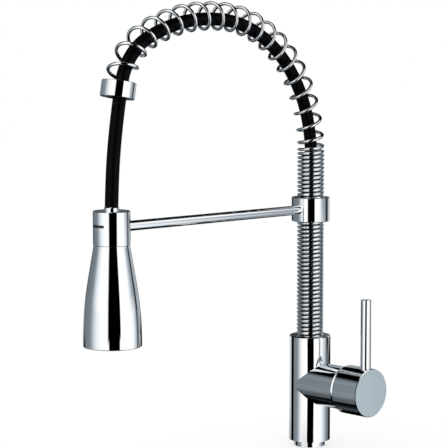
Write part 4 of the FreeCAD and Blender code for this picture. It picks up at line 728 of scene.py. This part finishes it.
# Collar grub screw: short stainless screw with the same hexagon socket, and no tip.
# It is driven in from the back of the collar, and clamps it on the spring.
low, high = [Vector(corner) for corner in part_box("collar_grub_screw")]
collar_key_screw = put_in_scene("collar_key_screw", set_level(socket_screw(
    "collar_key_screw", (high.x - low.x) / 2, low.y, high.y), (low.z + high.z) / 2), steel)
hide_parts("collar_grub_screw")
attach(collar_key_screw, "spout")

# Spray head's neck: plated brass cylinder that hangs on the arm's peg in a plastic socket.
# The hose's plated end fitting stands out of its top and screws down inside it.
dress(chrome, "neck_shell", "hose_end_fitting")
dress(black_plastic, "dock_socket_bush")

# Water way in the neck: the nut and washer that seal the hose, the diverter with its valve, and the
# flow tube. Nut and diverter are turned from brass, and the washer, valve and tube are moulded.
dress(brass, "connector_nut", "diverter_housing")
dress(seal_rubber, "hose_washer")
dress(black_plastic, "check_valve")
dress(white_plastic, "flow_tube")

# Selector: push bar in the neck's front, moulded in black ABS.
# It sits on the end of a turned brass spindle that shifts the diverter between stream and spray.
dress(black_plastic, "selector_bar")
dress(brass, "diverter_spindle")

# Selector spring: small stainless coil round the spindle, which brings the bar back out.
# It stands between the diverter and the bar, and closes up as the bar is pushed.
COIL_LEVEL = 0.2506
COIL_INNER_END = 0.28763
COIL_OUTER_END = 0.29057
COIL_WIRE = 0.00025
COIL_REACH = 0.0031
COIL_TURNS = 3
COIL_STEPS = 28
COIL_SIDES = 10
coil_line = []
for step in range(COIL_TURNS * COIL_STEPS + 1):
    angle = math.tau * step / COIL_STEPS
    way = step / (COIL_TURNS * COIL_STEPS)
    out = COIL_INNER_END + COIL_WIRE + (COIL_OUTER_END - COIL_INNER_END - COIL_WIRE * 2) * way
    coil_line.append(Vector((COIL_REACH * math.cos(angle), -out,
                             COIL_LEVEL + COIL_REACH * math.sin(angle))))
selector_coil = put_in_scene(
    "selector_coil", round_bar("selector_coil", coil_line, COIL_WIRE, COIL_SIDES), steel)
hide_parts("selector_spring")
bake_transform(selector_coil)

# Spray head's bell: flared shell spun from brass sheet, polished and plated, screwed to the neck.
# Its side runs in one sweep from the neck to an almost upright lip, with a rounded rim.
HEAD_REACH = 0.280
BELL_TOP = (0.0173, 0.2319)
BELL_PULL_TOP = (0.0238, 0.1919)
BELL_PULL_RIM = (0.0284, 0.1752)
BELL_RIM = (0.0284, 0.1362)
BELL_STEPS = 40
BELL_HOLE = 0.0050
PLATE_SEAT = 0.0264
SEAT_ROUND = 0.0005
RIM_ROUND = 0.0009
TOP_ROUND = 0.0002
TOP_EDGE = 0.0003
# Radius, height and rounding of the hollow's corners, from the hole for the flow tube down to the seat
BELL_HOLLOW = [
    (BELL_HOLE, 0.2290, 0), (0.0147, 0.2290, 0.001), (0.0226, 0.1830, 0.004), (0.0258, 0.1450, 0.002),
    (PLATE_SEAT, 0.1420, 0.0003),
]
CORNER_STEPS = 6
TURNED_SIDES = 128
ON_AXIS = 1e-6


def turned(name, outline, place, sides=TURNED_SIDES):
    """Mesh of a turned piece from points of radius, height and the two parts of their normal."""
    points, normals, rows = [], [], []
    for radius, height, out, up in outline:
        count = sides if radius > ON_AXIS else 1
        rows.append(range(len(points), len(points) + count))
        for side in range(count):
            angle = math.tau * side / sides
            points.append((radius * math.cos(angle), radius * math.sin(angle), height))
            normals.append((out * math.cos(angle), out * math.sin(angle), up))
    faces = []
    for below, above in zip(rows, rows[1:]):
        for side in range(sides):
            after = (side + 1) % sides
            ring = [below[side % len(below)], below[after % len(below)],
                    above[after % len(above)], above[side % len(above)]]
            faces.append(tuple(dict.fromkeys(ring)))
    mesh = bpy.data.meshes.new(name)
    mesh.from_pydata(points, [], faces)
    mesh.polygons.foreach_set("use_smooth", [True] * len(faces))
    mesh.normals_split_custom_set_from_vertices(normals)
    mesh.transform(place)
    return mesh


def rounded(corners):
    """Points and normals along an outline of radius, height and rounding, drawn from below outwards."""
    outline = []
    ways = [(Vector(b[:2]) - Vector(a[:2])).normalized() for a, b in zip(corners, corners[1:])]
    sides = [Vector((way.y, -way.x)) for way in ways]
    outline.append((*corners[0][:2], *sides[0]))
    for (radius, height, rounding), before, after, way in zip(corners[1:], sides, sides[1:], ways):
        bend = 1.0 if way.dot(after) > 0 else -1.0
        centre = Vector((radius, height)) - (before + after) * (bend * rounding / (1 + before.dot(after)))
        for step in range(CORNER_STEPS + 1):
            normal = before.slerp(after, step / CORNER_STEPS)
            outline.append((*(centre + normal * (bend * rounding)), *normal))
    outline.append((*corners[-1][:2], *sides[-1]))
    return outline


spots = [Vector(spot) for spot in (BELL_RIM, BELL_PULL_RIM, BELL_PULL_TOP, BELL_TOP)]
sweep = []
for step in range(BELL_STEPS + 1):
    way = step / BELL_STEPS
    rest = 1 - way
    spot = (spots[0] * rest ** 3 + spots[1] * 3 * rest ** 2 * way
            + spots[2] * 3 * rest * way ** 2 + spots[3] * way ** 3)
    pull = ((spots[1] - spots[0]) * rest ** 2 + (spots[2] - spots[1]) * 2 * rest * way
            + (spots[3] - spots[2]) * way ** 2).normalized()
    sweep.append((*spot, pull.y, -pull.x))
lip = Vector(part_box("bell_shell")[0]).z
inner = rounded(BELL_HOLLOW + [
    (PLATE_SEAT, lip, SEAT_ROUND), (BELL_RIM[0], lip, RIM_ROUND), (*BELL_RIM, 0)])
top = rounded([
    (BELL_TOP[0], BELL_TOP[1] - TOP_EDGE, 0), (*BELL_TOP, TOP_ROUND), (BELL_HOLE, BELL_TOP[1], 0)])
bell_skin = put_in_scene("bell_skin", turned(
    "bell_skin", inner[:-1] + sweep[:-1] + top[1:], Matrix.Translation((0, -HEAD_REACH, 0))), chrome)
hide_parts("bell_shell")
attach(bell_skin, "spray_head")

# Spray plate: round face in the bell's mouth, moulded in the same black ABS as the selector's bar.
# It is pressed against a flat rubber ring that lies on the bell's ledge.
dress(black_plastic, "spray_plate")
dress(seal_rubber, "spray_plate_seal")

# Spray nozzles: two rings of soft rubber tips, moulded through the plate so that scale can be rubbed
# off. Each is a little cone with a fine bore.
PLATE_FLOOR = 0.1364
NOZZLE_PROUD = 0.0005
NOZZLE_RINGS = ((0.014, 12), (0.0205, 18))
NOZZLE_SIDES = 20
NOZZLE_EDGE = math.radians(50)
# Radius, height and rounding of a tip's corners, from the floor of its bore out to its hidden root
NOZZLE_CORNERS = [
    (0, 0.0012, 0), (0.0005, 0.0012, 0.0001), (0.0005, 0, 0.0001), (0.0009, 0, 0.0002),
    (0.0012, 0.0006, 0.0002), (0.0012, 0.0046, 0.0001), (0, 0.0046, 0),
]
nozzle_outline = rounded(NOZZLE_CORNERS)
tips = bmesh.new()
for reach, count in NOZZLE_RINGS:
    for number in range(count):
        angle = math.tau * number / count
        foot = Matrix.Translation((reach * math.cos(angle), reach * math.sin(angle) - HEAD_REACH,
                                   PLATE_FLOOR - NOZZLE_PROUD))
        tip = turned("nozzle_tip", nozzle_outline, foot, NOZZLE_SIDES)
        tips.from_mesh(tip)
        bpy.data.meshes.remove(tip)
tips_mesh = bpy.data.meshes.new("nozzle_tips")
tips.to_mesh(tips_mesh)
tips.free()
tips_mesh.set_sharp_from_angle(angle=NOZZLE_EDGE)
nozzle_tips = put_in_scene("nozzle_tips", tips_mesh, seal_rubber)
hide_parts("spray_nozzles")
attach(nozzle_tips, "spray_head")

# Aerator: white plastic insert in the middle of the plate, with a honeycomb screen in its mouth.
# The screen is moulded in one piece, with six-sided cells that break up the stream.
AERATOR_REACH = 0.009
AERATOR_MOUTH = 0.007
AERATOR_LENGTH = 0.014
AERATOR_SIDES = 64
AERATOR_FLOOR = PLATE_FLOOR - NOZZLE_PROUD
AERATOR_TOP = AERATOR_FLOOR + AERATOR_LENGTH
MOUTH_ROUND = 0.0004
FLOOR_ROUND = 0.0002
BACK_ROUND = 0.0005
SCREEN_DEPTH = 0.0015
SCREEN_SET_BACK = 0.0004
SCREEN_GAP = 0.0002
SCREEN_FRONT = AERATOR_FLOOR + SCREEN_SET_BACK
SCREEN_BACK = AERATOR_FLOOR + SCREEN_DEPTH
CELL_ACROSS = 0.0018
CELL_WALL = 0.00016
CELL_FLOOR = 0.0005
CELL_ROWS = range(-6, 7)
CELL_CORNERS = [math.radians(60 * corner + 30) for corner in range(6)]
aerator_case = put_in_scene("aerator_case", turned("aerator_case", rounded([
    (0, SCREEN_BACK, 0), (AERATOR_MOUTH, SCREEN_BACK, FLOOR_ROUND),
    (AERATOR_MOUTH, AERATOR_FLOOR, MOUTH_ROUND), (AERATOR_REACH, AERATOR_FLOOR, MOUTH_ROUND),
    (AERATOR_REACH, AERATOR_TOP, BACK_ROUND), (0, AERATOR_TOP, 0)]),
    Matrix.Translation((0, -HEAD_REACH, 0)), AERATOR_SIDES), white_plastic)
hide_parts("aerator")
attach(aerator_case, "spray_head")
screen = bmesh.new()
corner_reach = CELL_ACROSS / math.sqrt(3)
for row in CELL_ROWS:
    for column in CELL_ROWS:
        across = (column + (row % 2) / 2) * CELL_ACROSS
        along = row * CELL_ACROSS * math.sqrt(3) / 2
        if math.hypot(across, along) + corner_reach > AERATOR_MOUTH - SCREEN_GAP:
            continue
        corners = [(across + corner_reach * math.cos(angle),
                    along + corner_reach * math.sin(angle) - HEAD_REACH, SCREEN_FRONT)
                   for angle in reversed(CELL_CORNERS)]
        screen.faces.new([screen.verts.new(corner) for corner in corners])
bmesh.ops.remove_doubles(screen, verts=screen.verts, dist=CELL_WALL / 8)
cells = list(screen.faces)
behind = {}
for edge in [edge for edge in screen.edges if edge.is_boundary]:
    loop = edge.link_loops[0]
    start, end = loop.vert, loop.link_loop_next.vert
    for vertex in (start, end):
        if vertex not in behind:
            behind[vertex] = screen.verts.new((vertex.co.x, vertex.co.y, SCREEN_BACK))
    screen.faces.new((end, start, behind[start], behind[end]))
bmesh.ops.inset_individual(screen, faces=cells, thickness=CELL_WALL / 2, use_even_offset=True)
bmesh.ops.inset_individual(screen, faces=cells, thickness=CELL_WALL / 10, depth=CELL_FLOOR - SCREEN_DEPTH)
screen_mesh = bpy.data.meshes.new("aerator_screen")
screen.to_mesh(screen_mesh)
screen.free()
aerator_screen = put_in_scene("aerator_screen", screen_mesh, white_plastic)
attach(aerator_screen, "spray_head")
